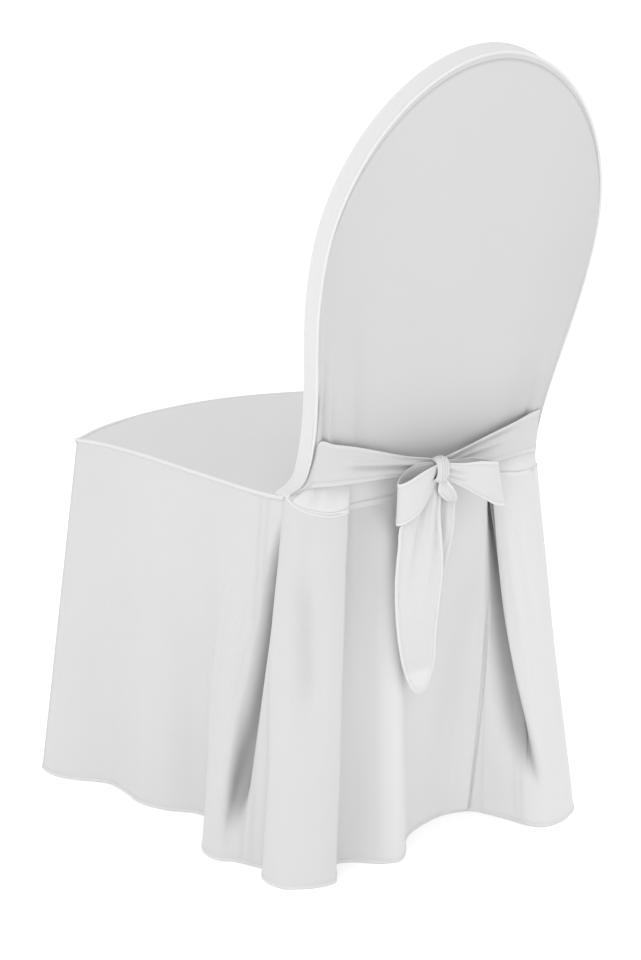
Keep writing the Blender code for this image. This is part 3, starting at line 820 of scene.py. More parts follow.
class Look:
    """A material whose nodes are added one by one."""

    def __init__(self, name):
        self.material = bpy.data.materials.new(name)
        self.material.use_nodes = True
        self.tree = self.material.node_tree

    def add(self, kind, settings=None, values=None, output=0):
        """A node with its settings, its sockets' values or links, and one of its outputs as a Value."""
        node = self.tree.nodes.new(kind)
        for name, setting in (settings or {}).items():
            setattr(node, name, setting)
        self.feed(node, values or {})
        return Value(self, node.outputs[output])

    def feed(self, node, values):
        """Link Values to a node's sockets, or set the sockets' own values."""
        for socket, value in values.items():
            if isinstance(value, Value):
                self.tree.links.new(value.output, node.inputs[socket])
            else:
                node.inputs[socket].default_value = value

    def spot(self):
        """Object coordinates, which don't move with the cloth's folds."""
        return self.add("ShaderNodeTexCoord", output=3)

    def noise(self, spot, scale, detail):
        return self.add("ShaderNodeTexNoise", None, {"Vector": spot, "Scale": scale, "Detail": detail})

    def attribute(self, name):
        return self.add("ShaderNodeAttribute", {"attribute_name": name}, output=2)

    def mix(self, share, first, second):
        """A mix of two colours, from the first at share 0 to the second at share 1."""
        return self.add("ShaderNodeMix", {"data_type": "RGBA"}, {0: share, 6: first, 7: second}, output=2)

    def bump(self, strength, distance, height):
        return self.add(
            "ShaderNodeBump", None, {"Strength": strength, "Distance": distance, "Height": height}
        )

    def finished(self, values):
        """The material, with these values on its shader's sockets."""
        self.feed(self.tree.nodes["Principled BSDF"], values)
        return self.material


def tinted(colour, gain):
    """A colour made lighter or darker, with its alpha."""
    return (*(min(1.0, gain * part) for part in colour), 1.0)


def cloth_look(name, colour, settings, roughness):
    """Smooth stretch polyester: a fine knit that follows the cloth, a faint sheen and soft mottling."""
    look = Look(name)
    place = look.add("ShaderNodeUVMap", {"uv_map": "cloth"})
    along = look.add("ShaderNodeSeparateXYZ", None, {0: place})
    up = Value(look, along.output.node.outputs[1])
    pitch = 2.0 * math.pi / settings.knit_pitch
    wales = (along * pitch).math("SINE")
    courses = (up * (1.3 * pitch)).math("SINE")
    knit = wales * 0.5 + courses * 0.5 * wales
    spot = look.spot()
    mottle = look.noise(spot, 9.0, 3.0)
    slub = look.noise(spot, 160.0, 4.0)
    single = look.mix(mottle * 0.7 + slub * 0.3, tinted(colour, 0.965), tinted(colour, 1.02))
    # Painted light: doubled cloth, hems, seam crests, knot ribs, the boxing strip, the strip under the tie
    # and the pleats are painted whiter
    doubled = look.mix(look.attribute("doubled"), single, tinted(colour, DOUBLED_AND_PAINTED_LIGHT_GAIN))
    # Painted shade: deep folds, the rear panel and the ties are painted greyer
    sunk = look.mix(look.attribute("sunk"), doubled, tinted(colour, PAINTED_SHADE_GAIN))
    values = {
        "Base Color": sunk,
        "Roughness": mottle * 0.10 + slub * 0.06 + (roughness - 0.08),
        "Metallic": 0.0,
        "Specular IOR Level": 0.35,
        "Sheen Weight": 0.18,
        "Sheen Roughness": 0.45,
        "Normal": look.bump(1.0, KNIT_DEPTH, knit + slub * 0.8),
    }
    return look.finished(values)


def cloth_of(slot, settings):
    """A slot's cloth, made on its first use."""
    name, colour_name, roughness = CLOTHS[slot]
    made = bpy.data.materials.get(name)
    return made or cloth_look(name, getattr(settings, colour_name), settings, roughness)


def thread_look(settings):
    """Matt sewing thread with a slight twist along it."""
    look = Look("sewing_thread")
    waves = {"Vector": look.spot(), "Scale": 900.0}
    twist = look.add("ShaderNodeTexWave", {"bands_direction": "DIAGONAL"}, waves, output=1)
    colour = settings.thread_colour
    values = {
        "Base Color": look.mix(twist, tinted(colour, 0.9), tinted(colour, 1.0)),
        "Roughness": 0.7,
        "Normal": look.bump(0.6, 0.00008, twist),
    }
    return look.finished(values)


def floor_look():
    """Plain pale floor."""
    look = Look("pale_floor")
    values = {
        "Base Color": (0.95, 0.95, 0.95, 1.0),
        "Roughness": look.noise(look.spot(), 1.5, 2.0) * 0.05 + 0.9,
        "Specular IOR Level": 0.1,
        "Emission Color": (1.0, 1.0, 1.0, 1.0),
        "Emission Strength": FLOOR_GLOW,
    }
    return look.finished(values)


def linked(name, data):
    """A new object in the scene."""
    thing = bpy.data.objects.new(name, data)
    bpy.context.scene.collection.objects.link(thing)
    return thing


def sheet_piece(name, parts, settings, sunk=0.0):
    """A piece of one or more sheets of cloth, each a grid that is its outer face and how doubled it is, which
    also carries painted light.

    The grids are in the maker's frame, and the cloth's thickness lies on their inner side. The last argument
    is the painted shade on each point of the first sheet, from 0 to 1, which greys its colour where it lies
    deep in a fold and wherever else shade is painted.
    """
    slot, node, flat, held, area = CUTS[name]
    points, faces, flats, doubled = [], [], [], []
    first = 0
    for grid, layers in parts:
        rows, columns = grid.shape[:2]
        corner = first + (np.arange(rows - 1)[:, None] * columns + np.arange(columns - 1)).ravel()
        faces.append(np.stack([corner, corner + 1, corner + columns + 1, corner + columns], axis=1))
        points.append(placed(grid).reshape(-1, 3))
        flats.append(flat_sizes(grid).reshape(-1, 2))
        doubled.append(np.broadcast_to(layers, (rows, columns)).ravel())
        first += rows * columns
    faces = np.concatenate(faces)
    depths = np.zeros(first)
    depths[: parts[0][0][..., 0].size] = np.broadcast_to(sunk, parts[0][0].shape[:2]).ravel()
    mesh = bpy.data.meshes.new(name)
    mesh.from_pydata(np.concatenate(points).tolist(), [], faces.tolist())
    cloth = mesh.uv_layers.new(name="cloth")
    cloth.data.foreach_set("uv", np.concatenate(flats)[faces.ravel()].ravel())
    for attribute, values in (("doubled", np.concatenate(doubled)), ("sunk", depths)):
        mesh.attributes.new(attribute, "FLOAT", "POINT").data.foreach_set("value", values)
    mesh.materials.append(cloth_of(slot, settings))
    mesh.shade_smooth()
    piece = linked(name, mesh)
    inner = piece.modifiers.new("cloth", "SOLIDIFY")
    inner.thickness = settings.thickness
    inner.offset = -1.0
    inner.use_quality_normals = True
    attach(piece, BODY)
    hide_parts(node)


def waist_curve(places):
    """Points of the waist seam at places counted in fold lines, straight from one to the next."""
    tops = np.array(GATHERED_FOLDS)[WAIST_FIRST_FOLD : WAIST_FIRST_FOLD + WAIST_SPANS + 1, :3]
    return at_places(curve_through(tops, OUTLINE_STEPS), np.asarray(places) * OUTLINE_STEPS)


def fill_back(bottom_at, rows_up, columns_across):
    """A grid of x and z in the back's outline, above the bottom edge that bottom_at gives.

    The outline's first and last spans are the sides of the grid, and those between are its top edge.
    """
    outline = back_outline()
    dense = curve_through(outline, OUTLINE_STEPS)
    side_steps = (len(outline) - 1 - WAIST_SPANS) // 2 * OUTLINE_STEPS
    climb = lengths_along(dense[: side_steps + 1])
    side_places = np.interp(rows_up, climb / climb[-1], np.arange(len(climb)))
    left = at_places(dense, side_places)
    right = at_places(dense[::-1], side_places)
    top = at_places(dense, side_steps + columns_across * WAIST_SPANS * OUTLINE_STEPS)
    bottom = bottom_at(columns_across)
    up = rows_up[:, None, None]
    across = columns_across[None, :, None]
    corners = (
        (1 - across) * (1 - up) * bottom[0]
        + across * (1 - up) * bottom[-1]
        + (1 - across) * up * top[0]
        + across * up * top[-1]
    )
    return (1 - up) * bottom + up * top + (1 - across) * left[:, None] + across * right[:, None] - corners


def dome(rows_up, columns_across):
    """How far a panel's cloth stands out over its grid: nothing at the edges, 1 in the middle."""
    up = np.sin(np.pi * rows_up)[:, None] ** EDGE_POWER
    across = np.sin(np.pi * columns_across)[None, :] ** EDGE_POWER
    return np.nan_to_num(up * across)


def rear_panel_piece(settings):
    """The smooth oval of the back's rear side, with soft creases above the waist."""
    rows_up = shares_with_fine_ends(*REAR_ROWS)
    columns_across = shares_with_fine_ends(*REAR_COLUMNS)
    flat = fill_back(lambda across: waist_curve(across * WAIST_SPANS)[:, [0, 2]], rows_up, columns_across)
    waist = waist_curve(columns_across * WAIST_SPANS)
    seam_out = waist[:, 1] - rear_y(waist[:, 2])
    away = smooth((flat[..., 1] - waist[None, :, 2]) / SEAM_REACH)
    out = REAR_BULGE * dome(rows_up, columns_across) * away + seam_out[None, :] * (1.0 - away)
    out = out + creased(flat, REAR_CREASES) + uneven(flat, *BACK_LUMPS, 11)
    grid = behind_back(flat[..., 0], flat[..., 1], out)
    grid = with_roll(grid, "bottom", WAIST_ROLL_SCALE)
    # Painted highlight on the waist roll's crest, and painted light on the strip under the tie, which lies in
    # the tie's shadow
    layers = seam_band(edge_distance(flat_sizes(grid), ["bottom"]), WAIST_ROLL_SCALE)
    above_tie = smooth((grid[..., 2] - TIE_FOOT_Z) / TIE_FOOT_SOFTNESS)
    layers = np.maximum(layers, WAIST_STRIP_PAINTED_LIGHT * (1.0 - above_tie))
    # Painted shade above the tie, deeper towards the waist
    toward_waist = 1.0 - smooth((grid[..., 2] - TIE_FOOT_Z) / WAIST_SHADE_HEIGHT)
    stretched = (REAR_PAINTED_SHADE + WAIST_PAINTED_SHADE * toward_waist) * above_tie
    sheet_piece("rear_panel", [(grid, layers)], settings, stretched)


def front_panel_piece(settings):
    """The oval of the back's front side, from the seat up."""
    rows_up = shares_with_fine_ends(*FRONT_ROWS)
    columns_across = shares_with_fine_ends(*FRONT_COLUMNS)
    first, last = np.array(BACK_LEFT_SIDE[0]), np.array(BACK_RIGHT_SIDE[0])
    flat = fill_back(lambda across: first + across[:, None] * (last - first), rows_up, columns_across)
    bulge = FRONT_BULGE * dome(rows_up, columns_across) + uneven(flat, *BACK_LUMPS, 12)
    grid = on_back(flat[..., 0], flat[..., 1], BACK_DEPTH)
    grid[..., 1] -= bulge
    foot_x = grid[0, :, 0]
    side_rise = seat_side_z(SEAT_REAR_Y, foot_x) - SEAT_HEIGHT
    seat_z = SEAT_HEIGHT - FOOT_SINK + side_rise * (foot_x / SEAT_REAR_HALF) ** CORNER_POWER
    settled = 1.0 - smooth(rows_up / FOOT_REACH_SHARE)
    grid[..., 2] -= settled[:, None] * (grid[0, :, 2] - seat_z)
    sheet_piece("front_panel", [(grid[:, ::-1], 0.0)], settings)


def boxing_piece(settings):
    """The strip between the two oval panels, with a rolled seam along both its edges."""
    dense = curve_through(back_outline(), OUTLINE_STEPS)
    lengths = lengths_along(dense)
    places = np.linspace(0.0, lengths[-1], BOXING_COLUMNS)
    outline = at_places(dense, np.interp(places, lengths, np.arange(len(dense))))
    ahead = np.gradient(outline, axis=0)
    ahead /= np.linalg.norm(ahead, axis=1, keepdims=True)
    aside = np.stack([ahead[:, 1], -ahead[:, 0]], axis=1)
    roll = np.array(SEAM_ROLL)
    front = np.column_stack([BACK_DEPTH + roll[::-1, 0], roll[::-1, 1]])
    rear = np.column_stack([-roll[:, 0], roll[:, 1]])
    middle = np.linspace(front[-1, 0], rear[0, 0], 12)[1:-1]
    profile = np.concatenate([front, np.column_stack([middle, np.zeros(len(middle))]), rear])
    columns = []
    for depth, proud in profile:
        moved = outline + aside * proud
        columns.append(on_back(moved[:, 0], moved[:, 1], depth))
    grid = np.stack(columns, axis=1)
    # Painted light over the whole strip, with a painted highlight on its seams' crests
    layers = np.maximum(seam_band(edge_distance(flat_sizes(grid), ["left", "right"])), BOXING_PAINTED_LIGHT)
    sheet_piece("boxing_strip", [(grid, layers)], settings)


def seat_piece(settings):
    """The seat panel, crowned over its middle, with a rolled seam round its open edges."""
    back = shares_with_fine_ends(*SEAT_ROWS)[:, None]
    share = (2.0 * shares_with_fine_ends(*SEAT_COLUMNS) - 1.0)[None, :]
    even_y = SEAT_FRONT_Y + back * (SEAT_REAR_Y - SEAT_FRONT_Y)
    ear_start = np.where(share > 0.0, SEAT_LEFT_EAR_START, SEAT_RIGHT_EAR_START)
    ear = np.where(share > 0.0, SEAT_LEFT_EAR, SEAT_RIGHT_EAR) * back**CORNER_POWER
    ear = ear * smooth((np.abs(share) - ear_start) / (1.0 - ear_start))
    tuck = np.where(share < 0.0, SEAT_RIGHT_TUCK, 0.0) * share**CORNER_POWER * back ** (2 * CORNER_POWER)
    bowed = 1.0 - share**2
    forward = (1.0 - back) ** 2
    crown = SEAT_CROWN * (1.0 - share**4) * (1.0 - (2.0 * back - 1.0) ** 4)
    side_rise = seat_side_z(even_y + ear, share) - SEAT_HEIGHT
    rise = side_rise * share**CORNER_POWER + SEAT_FRONT_RISE * bowed * forward + crown
    x, y, z = np.broadcast_arrays(
        share * seat_half(even_y + ear) + tuck,
        even_y + ear - SEAT_FRONT_BOW * bowed * forward,
        SEAT_HEIGHT + np.minimum(rise, SEAT_FLAT_RISE),
    )
    grid = np.stack([x, y, z], axis=-1)
    grid[..., 2] += uneven(grid[..., :2], *SEAT_LUMPS, 21)
    open_sides = ("bottom", "left", "right")
    for side in open_sides:
        grid = with_roll(grid, side, SEAT_ROLL_SCALE)
    # Painted highlight on the rolled seams' crests
    layers = seam_band(edge_distance(flat_sizes(grid), open_sides), SEAT_ROLL_SCALE)
    sheet_piece("seat_top", [(grid, layers)], settings)


def closer_columns(lines, coarse, fine=None, sharp=()):
    """The lines drawn again at even distances at mid height, and closer together in the sharp stretches."""
    across = lengths_along((lines[:, :3] + lines[:, 3:]) / 2)
    places = [0.0]
    while places[-1] < across[-1]:
        inside = any(low <= places[-1] <= high for low, high in sharp)
        places.append(places[-1] + (fine if inside else coarse))
    places[-1] = across[-1]
    return at_places(lines, np.interp(places, across, np.arange(len(lines))))


def hung_skirt(name, lines, creases, seed, settings, pleated=None):
    """A skirt panel from lines that each give a point on its seam and one on its hem.

    It has its creases, low lumps and stitched hem, whose stitch line is returned. The last argument is the
    stretch across it whose pleats hang two layers deep, which gets painted light.
    """
    rows_up = shares_with_fine_ends(*SKIRT_ROWS)
    grid = lines[:, 3:] + rows_up[:, None, None] * (lines[:, :3] - lines[:, 3:])
    flat = flat_sizes(grid)
    across = flat[..., 0]
    plane = np.stack([across, grid[..., 2]], axis=-1)
    free = smooth(edge_distance(flat, ["top"]) / 0.10) * smooth(edge_distance(flat, ["left", "right"]) / 0.03)
    fold = creased(plane, creases)
    distance = edge_distance(flat, ["bottom"])
    lift = fold + uneven(plane, *SKIRT_LUMPS, seed) * free
    grid = lifted(grid, lift + hem_lift(distance, settings, flat))
    # Painted highlight on the hem, and painted light over the pleated stretch
    layers = hem_band(distance, settings)
    if pleated is not None:
        first, last = pleated
        inside = smooth((across - first) / PLEAT_SOFTNESS) * smooth((last - across) / PLEAT_SOFTNESS)
        layers = np.maximum(layers, PLEAT_DOUBLED_AND_PAINTED_LIGHT * inside)
    # Painted shade where the cloth lies deep in a fold
    sheet_piece(name, [(grid, layers)], settings, smooth((-fold - SHALLOW_FOLD) / DEEP_FOLD))
    return [stitch_line(grid, "bottom", settings)]


def side_skirt_lines(folds, side):
    """The lines of a skirt panel under one side edge of the seat. side is 1 on the left, -1 on the right."""
    rows = []
    for top_y, hem_x, hem_y in folds:
        top_z = float(seat_side_z(top_y, side)) - SKIRT_SEAM_DROP
        rows.append((side * seat_half(top_y), top_y, top_z, hem_x, hem_y, 0.0))
    return curve_through(rows, 16)


def front_skirt_lines():
    """The lines of the skirt panel under the seat's front edge."""
    rows = []
    for share, hem_x, hem_y in FRONT_FOLDS:
        x, y, z = seat_front_point(share)
        rows.append((x, y, z - SKIRT_SEAM_DROP, hem_x, hem_y, 0.0))
    return curve_through(rows, 20)


def gathered_skirt_lines():
    """The lines of the folded panel that hangs from the waist seam."""
    folds = np.array(GATHERED_FOLDS)
    return curve_through(np.column_stack([folds[:, :5], np.zeros(len(folds))]), 40, folds[:, 5])


def hemmed(grid, sides, settings):
    """The grid with a sash hem along its named sides, and how doubled the cloth is at each point, which
    carries the hem's painted highlight.
    """
    flat = flat_sizes(grid)
    distance = edge_distance(flat, sides)
    return lifted(grid, SASH_HEM_SHARE * hem_lift(distance, settings, flat)), hem_band(distance, settings)


def tie_piece(name, sections, creases, settings):
    """One tie of the sash, between its side seam and the knot, with soft folds along it."""
    up = np.linspace(0.0, 1.0, 60)[:, None]
    top_x, top_z, bottom_x, bottom_z, top_out, bottom_out = curve_through(sections, 24).T[:, None]
    x = bottom_x + up * (top_x - bottom_x)
    z = bottom_z + up * (top_z - bottom_z)
    out = bottom_out + up * (top_out - bottom_out)
    free = smooth((out - 0.0030) / 0.006)
    out = out + SOLID_CLOTH + creased(np.stack([x, z], axis=-1), creases) * free
    grid, layers = hemmed(behind_back(x, z, out), ["bottom", "top"], settings)
    # Painted shade over the whole tie
    sheet_piece(name, [(grid, layers)], settings, TIE_PAINTED_SHADE)
    return [stitch_line(grid, "bottom", settings)]


def loop_piece(name, path, creases, settings):
    """One loop of the bow: a strip on edge that goes out from the knot and comes back to it."""
    up = np.linspace(-1.0, 1.0, 56)[:, None]
    x, out, middle, half, lean = curve_through(path, 24).T[:, None]
    grid = behind_back(x + up * lean, middle + up * half, out)
    plane = np.stack([flat_sizes(grid)[..., 0], grid[..., 2]], axis=-1)
    grid, layers = hemmed(lifted(grid, creased(plane, creases)), ["bottom", "top"], settings)
    sheet_piece(name, [(grid, layers)], settings)
    return [stitch_line(grid, side, settings) for side in ("bottom", "top")]


def end_grid(sections, creases, tip_fold, settings):
    """A hanging end of cloth with soft folds down its length and a hem round its three free sides.

    Also how doubled the cloth is at each point, which carries painted light on its hems and tip, and the
    lines of its stitches. tip_fold is how much of its length is folded back under its tip.
    """
    across = np.linspace(0.0, 1.0, 64)[None, :]
    z, left_x, right_x, y = curve_through(sections, 20)[::-1].T[:, :, None]
    x, y, z = np.broadcast_arrays(left_x + across * (right_x - left_x), y, z)
    grid = np.stack([x, y, z], axis=-1)
    grid = lifted(grid, creased(np.stack([x, z], axis=-1), creases))
    to_side = np.minimum(across, 1.0 - across) * (left_x - right_x)
    along = lengths_along(grid[:, across.size // 2])[:, None]
    distance = np.minimum(to_side, along)
    grid = lifted(grid, hem_lift(distance, settings, flat_sizes(grid)))
    stitches = [side_stitch_line(grid, to_side, side, settings) for side in (1, -1)]
    # Painted light over the tip, partly for its cloth folded back under
    tip = TIP_DOUBLED_AND_PAINTED_LIGHT * (1.0 - smooth((along - tip_fold) / TIP_SOFTNESS))
    layers = np.maximum(hem_band(distance, settings), tip if tip_fold > 0.0 else 0.0)
    return grid, layers, stitches


def end_piece(name, ends, settings):
    """A free end of the tie, hanging from the knot, with its turned-over top where it has one.

    ends are the sections, creases and tip fold of each of its layers.
    """
    parts, stitches = [], []
    for end in ends:
        grid, layers, lines = end_grid(*end, settings)
        parts.append((grid, layers))
        stitches += lines
    sheet_piece(name, parts, settings)
    return stitches


def knot_piece(settings):
    """The wrap round the middle of the bow, pinched at its sides and creased along its turn.

    Its ends meet on the side of the bow's back, under the loops.
    """
    width, depth, height = KNOT_SIZE
    turn = np.linspace(math.pi, 3.0 * math.pi, 121)[:, None]
    across = np.linspace(-1.0, 1.0, 81)[None, :]
    pinch = 1.0 - 0.24 * np.abs(across) ** 3
    bend = across + 0.16 * np.cos(turn) * np.sin(turn + 0.4) + 0.10 * (1.0 - across**2) * np.cos(turn)
    ribs = KNOT_RIB * np.cos(5.2 * math.pi * bend) + KNOT_FINE_RIB * np.cos(11.0 * math.pi * bend + 1.0)
    ribs = ribs * (1.0 - across**4)
    up = np.sign(np.sin(turn)) * np.abs(np.sin(turn)) ** KNOT_ROUNDNESS
    back = np.sign(np.cos(turn)) * np.abs(np.cos(turn)) ** KNOT_ROUNDNESS
    waist = 1.0 + 0.12 * np.abs(up) ** 3
    x = np.broadcast_to(-across * 0.5 * width * waist, ribs.shape)
    out = KNOT_OUT + back * (0.5 * depth * pinch + ribs)
    z = KNOT_Z + up * (0.5 * height * pinch + ribs)
    grid = np.stack([x, rear_y(KNOT_Z) + out, z], axis=-1)
    # Painted highlight on the crests of the knot's ribs
    sheet_piece("knot_wrap", [(grid, KNOT_RIB_HIGHLIGHT * smooth(ribs / KNOT_RIB))], settings)


def stitch_line(grid, side, settings):
    """The line of a hem's stitches along the bottom or top of a grid, just clear of the cloth."""
    rows = lifted(grid, STITCH_LIFT)
    rows = rows[::-1] if side == "top" else rows
    distance = STITCH_SHARE * settings.hem_width
    lengths = np.linalg.norm(rows - rows[0], axis=2).mean(axis=1)
    past = int(np.argmax(lengths > distance))
    share = (distance - lengths[past - 1]) / (lengths[past] - lengths[past - 1])
    return rows[past - 1] + share * (rows[past] - rows[past - 1])


def side_stitch_line(grid, to_side, side, settings):
    """The stitches down one side of a hanging end. side is 1 for its first columns, -1 for its last."""
    rows = lifted(grid, STITCH_LIFT)[:, ::side]
    half = rows.shape[1] // 2
    inset = STITCH_SHARE * settings.hem_width
    line = []
    for row, gaps in zip(rows, to_side[:, ::side]):
        if gaps[half] > inset:
            line.append(at_places(row, [np.interp(inset, gaps[:half], np.arange(half))])[0])
    return np.array(line)


def stitch_tree():
    """Geometry nodes that lay one small stitch after another along each line of a mesh."""
    tree = bpy.data.node_groups.new("stitches", "GeometryNodeTree")
    sizes = [(name, "Float") for name in ("Pitch", "Length", "Width")]
    for name, kind in [("Lines", "Geometry"), *sizes, ("Thread", "Material")]:
        tree.interface.new_socket(name, in_out="INPUT", socket_type=f"NodeSocket{kind}")
    tree.interface.new_socket("Stitches", in_out="OUTPUT", socket_type="NodeSocketGeometry")

    def add(kind, links=None, **settings):
        node = tree.nodes.new(kind)
        for name, setting in settings.items():
            setattr(node, name, setting)
        for name, value in (links or {}).items():
            if isinstance(value, bpy.types.NodeSocket):
                tree.links.new(value, node.inputs[name])
            else:
                node.inputs[name].default_value = value
        return node.outputs

    given = add("NodeGroupInput")
    curves = add("GeometryNodeMeshToCurve", {"Mesh": given["Lines"]})[0]
    places = add("GeometryNodeResampleCurve", {"Curve": curves, "Length": given["Pitch"]}, mode="LENGTH")[0]
    ahead = add("GeometryNodeInputTangent")[0]
    turn = add("FunctionNodeAlignRotationToVector", {"Vector": ahead}, axis="Z")[0]
    bead = add("GeometryNodeMeshUVSphere", {"Segments": 6, "Rings": 4, "Radius": 0.5})[0]
    size = {"X": given["Width"], "Y": given["Width"], "Z": given["Length"]}
    laying = {
        "Points": places,
        "Instance": bead,
        "Rotation": turn,
        "Scale": add("ShaderNodeCombineXYZ", size)[0],
    }
    laid = add("GeometryNodeInstanceOnPoints", laying)[0]
    real = add("GeometryNodeRealizeInstances", {"Geometry": laid})[0]
    threads = add("GeometryNodeSetMaterial", {"Geometry": real, "Material": given["Thread"]})[0]
    add("NodeGroupOutput", {"Stitches": threads})
    return tree


def stitches_piece(name, lines, settings):
    """The hem stitches along some lines, as one piece of small separate threads."""
    points, edges = [], []
    for line in lines:
        first = len(points)
        points.extend(placed(line).tolist())
        edges.extend((first + step, first + step + 1) for step in range(len(line) - 1))
    mesh = bpy.data.meshes.new(name)
    mesh.from_pydata(points, edges, [])
    piece = linked(name, mesh)
    values = {
        "Pitch": settings.stitch_pitch,
        "Length": settings.stitch_length,
        "Width": settings.thread_width,
        "Thread": bpy.data.materials.get("sewing_thread") or thread_look(settings),
    }
    tree = bpy.data.node_groups.get("stitches") or stitch_tree()
    sewing = piece.modifiers.new("sewing", "NODES")
    sewing.node_group = tree
    for item in tree.interface.items_tree:
        if item.name in values:
            sewing[item.identifier] = values[item.name]
    sewn = piece.evaluated_get(bpy.context.evaluated_depsgraph_get())
    finished = bpy.data.meshes.new_from_object(sewn)
    piece.modifiers.remove(sewing)
    piece.data = finished
    finished.shade_smooth()
    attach(piece, BODY)


class Undoable:
    """What all the operators share."""

    bl_options = {"REGISTER", "UNDO"}


class CHAIRCOVER_OT_back(Undoable, bpy.types.Operator):
    """Make the two oval panels of the back and the strip sewn between them"""

    bl_idname = "chair_cover.back"
    bl_label = "Back panels"

    def execute(self, context):
        for make in (rear_panel_piece, front_panel_piece, boxing_piece):
            make(context.scene.chair_cover)
        return {"FINISHED"}


class CHAIRCOVER_OT_seat(Undoable, bpy.types.Operator):
    """Make the seat panel"""

    bl_idname = "chair_cover.seat"
    bl_label = "Seat panel"

    def execute(self, context):
        seat_piece(context.scene.chair_cover)
        return {"FINISHED"}


class CHAIRCOVER_OT_skirts(Undoable, bpy.types.Operator):
    """Make the skirt panels that hang from the seat, with their hem stitches"""

    bl_idname = "chair_cover.skirts"
    bl_label = "Side and front skirts"

    def execute(self, context):
        settings = context.scene.chair_cover
        left = closer_columns(side_skirt_lines(LEFT_FOLDS, 1), 0.0055, 0.0015, LEFT_SHARP)
        right = closer_columns(side_skirt_lines(RIGHT_FOLDS, -1), 0.0050)[::-1]
        front = closer_columns(front_skirt_lines(), 0.0055)
        stitches = hung_skirt("side_skirt_left", left, LEFT_SKIRT_CREASES, 31, settings)
        stitches += hung_skirt("side_skirt_right", right, [], 32, settings)
        stitches += hung_skirt("front_skirt", front, [], 33, settings)
        stitches_piece("side_hem_stitches", stitches, settings)
        return {"FINISHED"}


class CHAIRCOVER_OT_gathered_skirt(Undoable, bpy.types.Operator):
    """Make the gathered and pleated skirt panel behind the back, with its hem stitches"""

    bl_idname = "chair_cover.gathered_skirt"
    bl_label = "Gathered skirt"

    def execute(self, context):
        settings = context.scene.chair_cover
        lines = closer_columns(gathered_skirt_lines(), 0.0024, 0.0007, GATHERED_SHARP)
        creases = GATHERED_CREASES
        stitches = hung_skirt("gathered_skirt", lines, creases, 34, settings, GATHERED_PLEATED)
        stitches_piece("gathered_hem_stitches", stitches, settings)
        return {"FINISHED"}


class CHAIRCOVER_OT_sash(Undoable, bpy.types.Operator):
    """Make the two ties and the two free ends of the sash, with their hem stitches"""

    bl_idname = "chair_cover.sash"
    bl_label = "Sash ties and ends"

    def execute(self, context):
        settings = context.scene.chair_cover
        short = [(SHORT_END, SHORT_END_CREASES, 0.0), (TURNED_TOP, TURNED_TOP_CREASES, 0.0)]
        stitches = tie_piece("tie_left", LEFT_TIE, LEFT_TIE_CREASES, settings)
        stitches += tie_piece("tie_right", RIGHT_TIE, RIGHT_TIE_CREASES, settings)
        stitches += end_piece("long_end", [(LONG_END, LONG_END_CREASES, TIP_FOLD)], settings)
        stitches += end_piece("short_end", short, settings)
        stitches_piece("sash_stitches", stitches, settings)
        return {"FINISHED"}


class CHAIRCOVER_OT_bow(Undoable, bpy.types.Operator):
    """Make the two loops of the bow, the wrap round its middle and the loops' hem stitches"""

    bl_idname = "chair_cover.bow"
    bl_label = "Bow"

    def execute(self, context):
        settings = context.scene.chair_cover
        stitches = loop_piece("loop_left", LEFT_LOOP, LEFT_LOOP_CREASES, settings)
        stitches += loop_piece("loop_right", RIGHT_LOOP, RIGHT_LOOP_CREASES, settings)
        knot_piece(settings)
        stitches_piece("bow_stitches", stitches, settings)
        return {"FINISHED"}


def aimed(name, data, place):
    """A light or camera at a place, facing the middle of the cover."""
    thing = linked(name, data)
    thing.location = place
    sight = Vector(CAMERA_TARGET) - Vector(place)
    thing.rotation_euler = sight.to_track_quat("-Z", "Y").to_euler()
    return thing


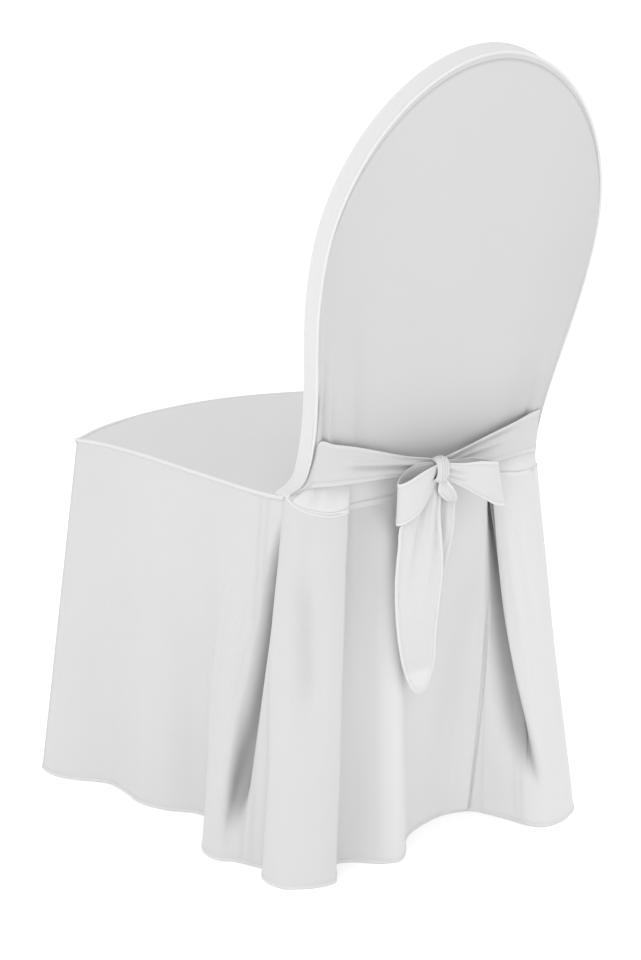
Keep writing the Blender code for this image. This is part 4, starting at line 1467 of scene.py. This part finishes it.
class CHAIRCOVER_OT_stage(Undoable, bpy.types.Operator):
    """Make the floor, the soft studio light and the camera"""

    bl_idname = "chair_cover.stage"
    bl_label = "Stage"

    def execute(self, context):
        floor_z = CAD_BOX[0][2]
        corners = [(-1, -1), (1, -1), (1, 1), (-1, 1)]
        mesh = bpy.data.meshes.new("floor")
        mesh.from_pydata([(FLOOR_HALF * x, FLOOR_HALF * y, floor_z) for x, y in corners], [], [(0, 1, 2, 3)])
        mesh.materials.append(floor_look())
        linked("floor", mesh)

        world = bpy.data.worlds.new("studio")
        world.use_nodes = True
        sky = world.node_tree.nodes["Background"]
        sky.inputs["Color"].default_value = (1.0, 1.0, 1.0, 1.0)
        sky.inputs["Strength"].default_value = SKY_STRENGTH
        bpy.context.scene.world = world
        bpy.context.scene.view_settings.view_transform = "Standard"

        lamp = bpy.data.lights.new("side_light", "AREA")
        lamp.size = SIDE_LIGHT_SIZE
        lamp.energy = SIDE_LIGHT_POWER
        aimed("side_light", lamp, SIDE_LIGHT_PLACE)

        lens = bpy.data.cameras.new("camera")
        lens.lens = CAMERA_LENS
        lens.sensor_fit = "VERTICAL"
        lens.sensor_height = CAMERA_HEIGHT
        bpy.context.scene.camera = aimed("camera", lens, CAMERA_PLACE)
        return {"FINISHED"}


OPERATORS = [
    CHAIRCOVER_OT_back,
    CHAIRCOVER_OT_seat,
    CHAIRCOVER_OT_skirts,
    CHAIRCOVER_OT_gathered_skirt,
    CHAIRCOVER_OT_sash,
    CHAIRCOVER_OT_bow,
    CHAIRCOVER_OT_stage,
]


class CHAIRCOVER_PT_panel(bpy.types.Panel):
    """The cover's sizes, colours and steps in the sidebar"""

    bl_idname = "CHAIRCOVER_PT_panel"
    bl_label = "Chair cover"
    bl_space_type = "VIEW_3D"
    bl_region_type = "UI"
    bl_category = "Chair cover"

    def draw(self, context):
        for name in CoverSettings.__annotations__:
            self.layout.prop(context.scene.chair_cover, name)
        for operator in OPERATORS:
            self.layout.operator(operator.bl_idname)


CLASSES = [CoverSettings, *OPERATORS, CHAIRCOVER_PT_panel]


def register():
    for each in CLASSES:
        bpy.utils.register_class(each)
    bpy.types.Scene.chair_cover = bpy.props.PointerProperty(type=CoverSettings)


def unregister():
    del bpy.types.Scene.chair_cover
    for each in reversed(CLASSES):
        bpy.utils.unregister_class(each)


def main():
    register()
    for operator in OPERATORS:
        group, step = operator.bl_idname.split(".")
        getattr(getattr(bpy.ops, group), step)()


if __name__ == "__main__":
    main()
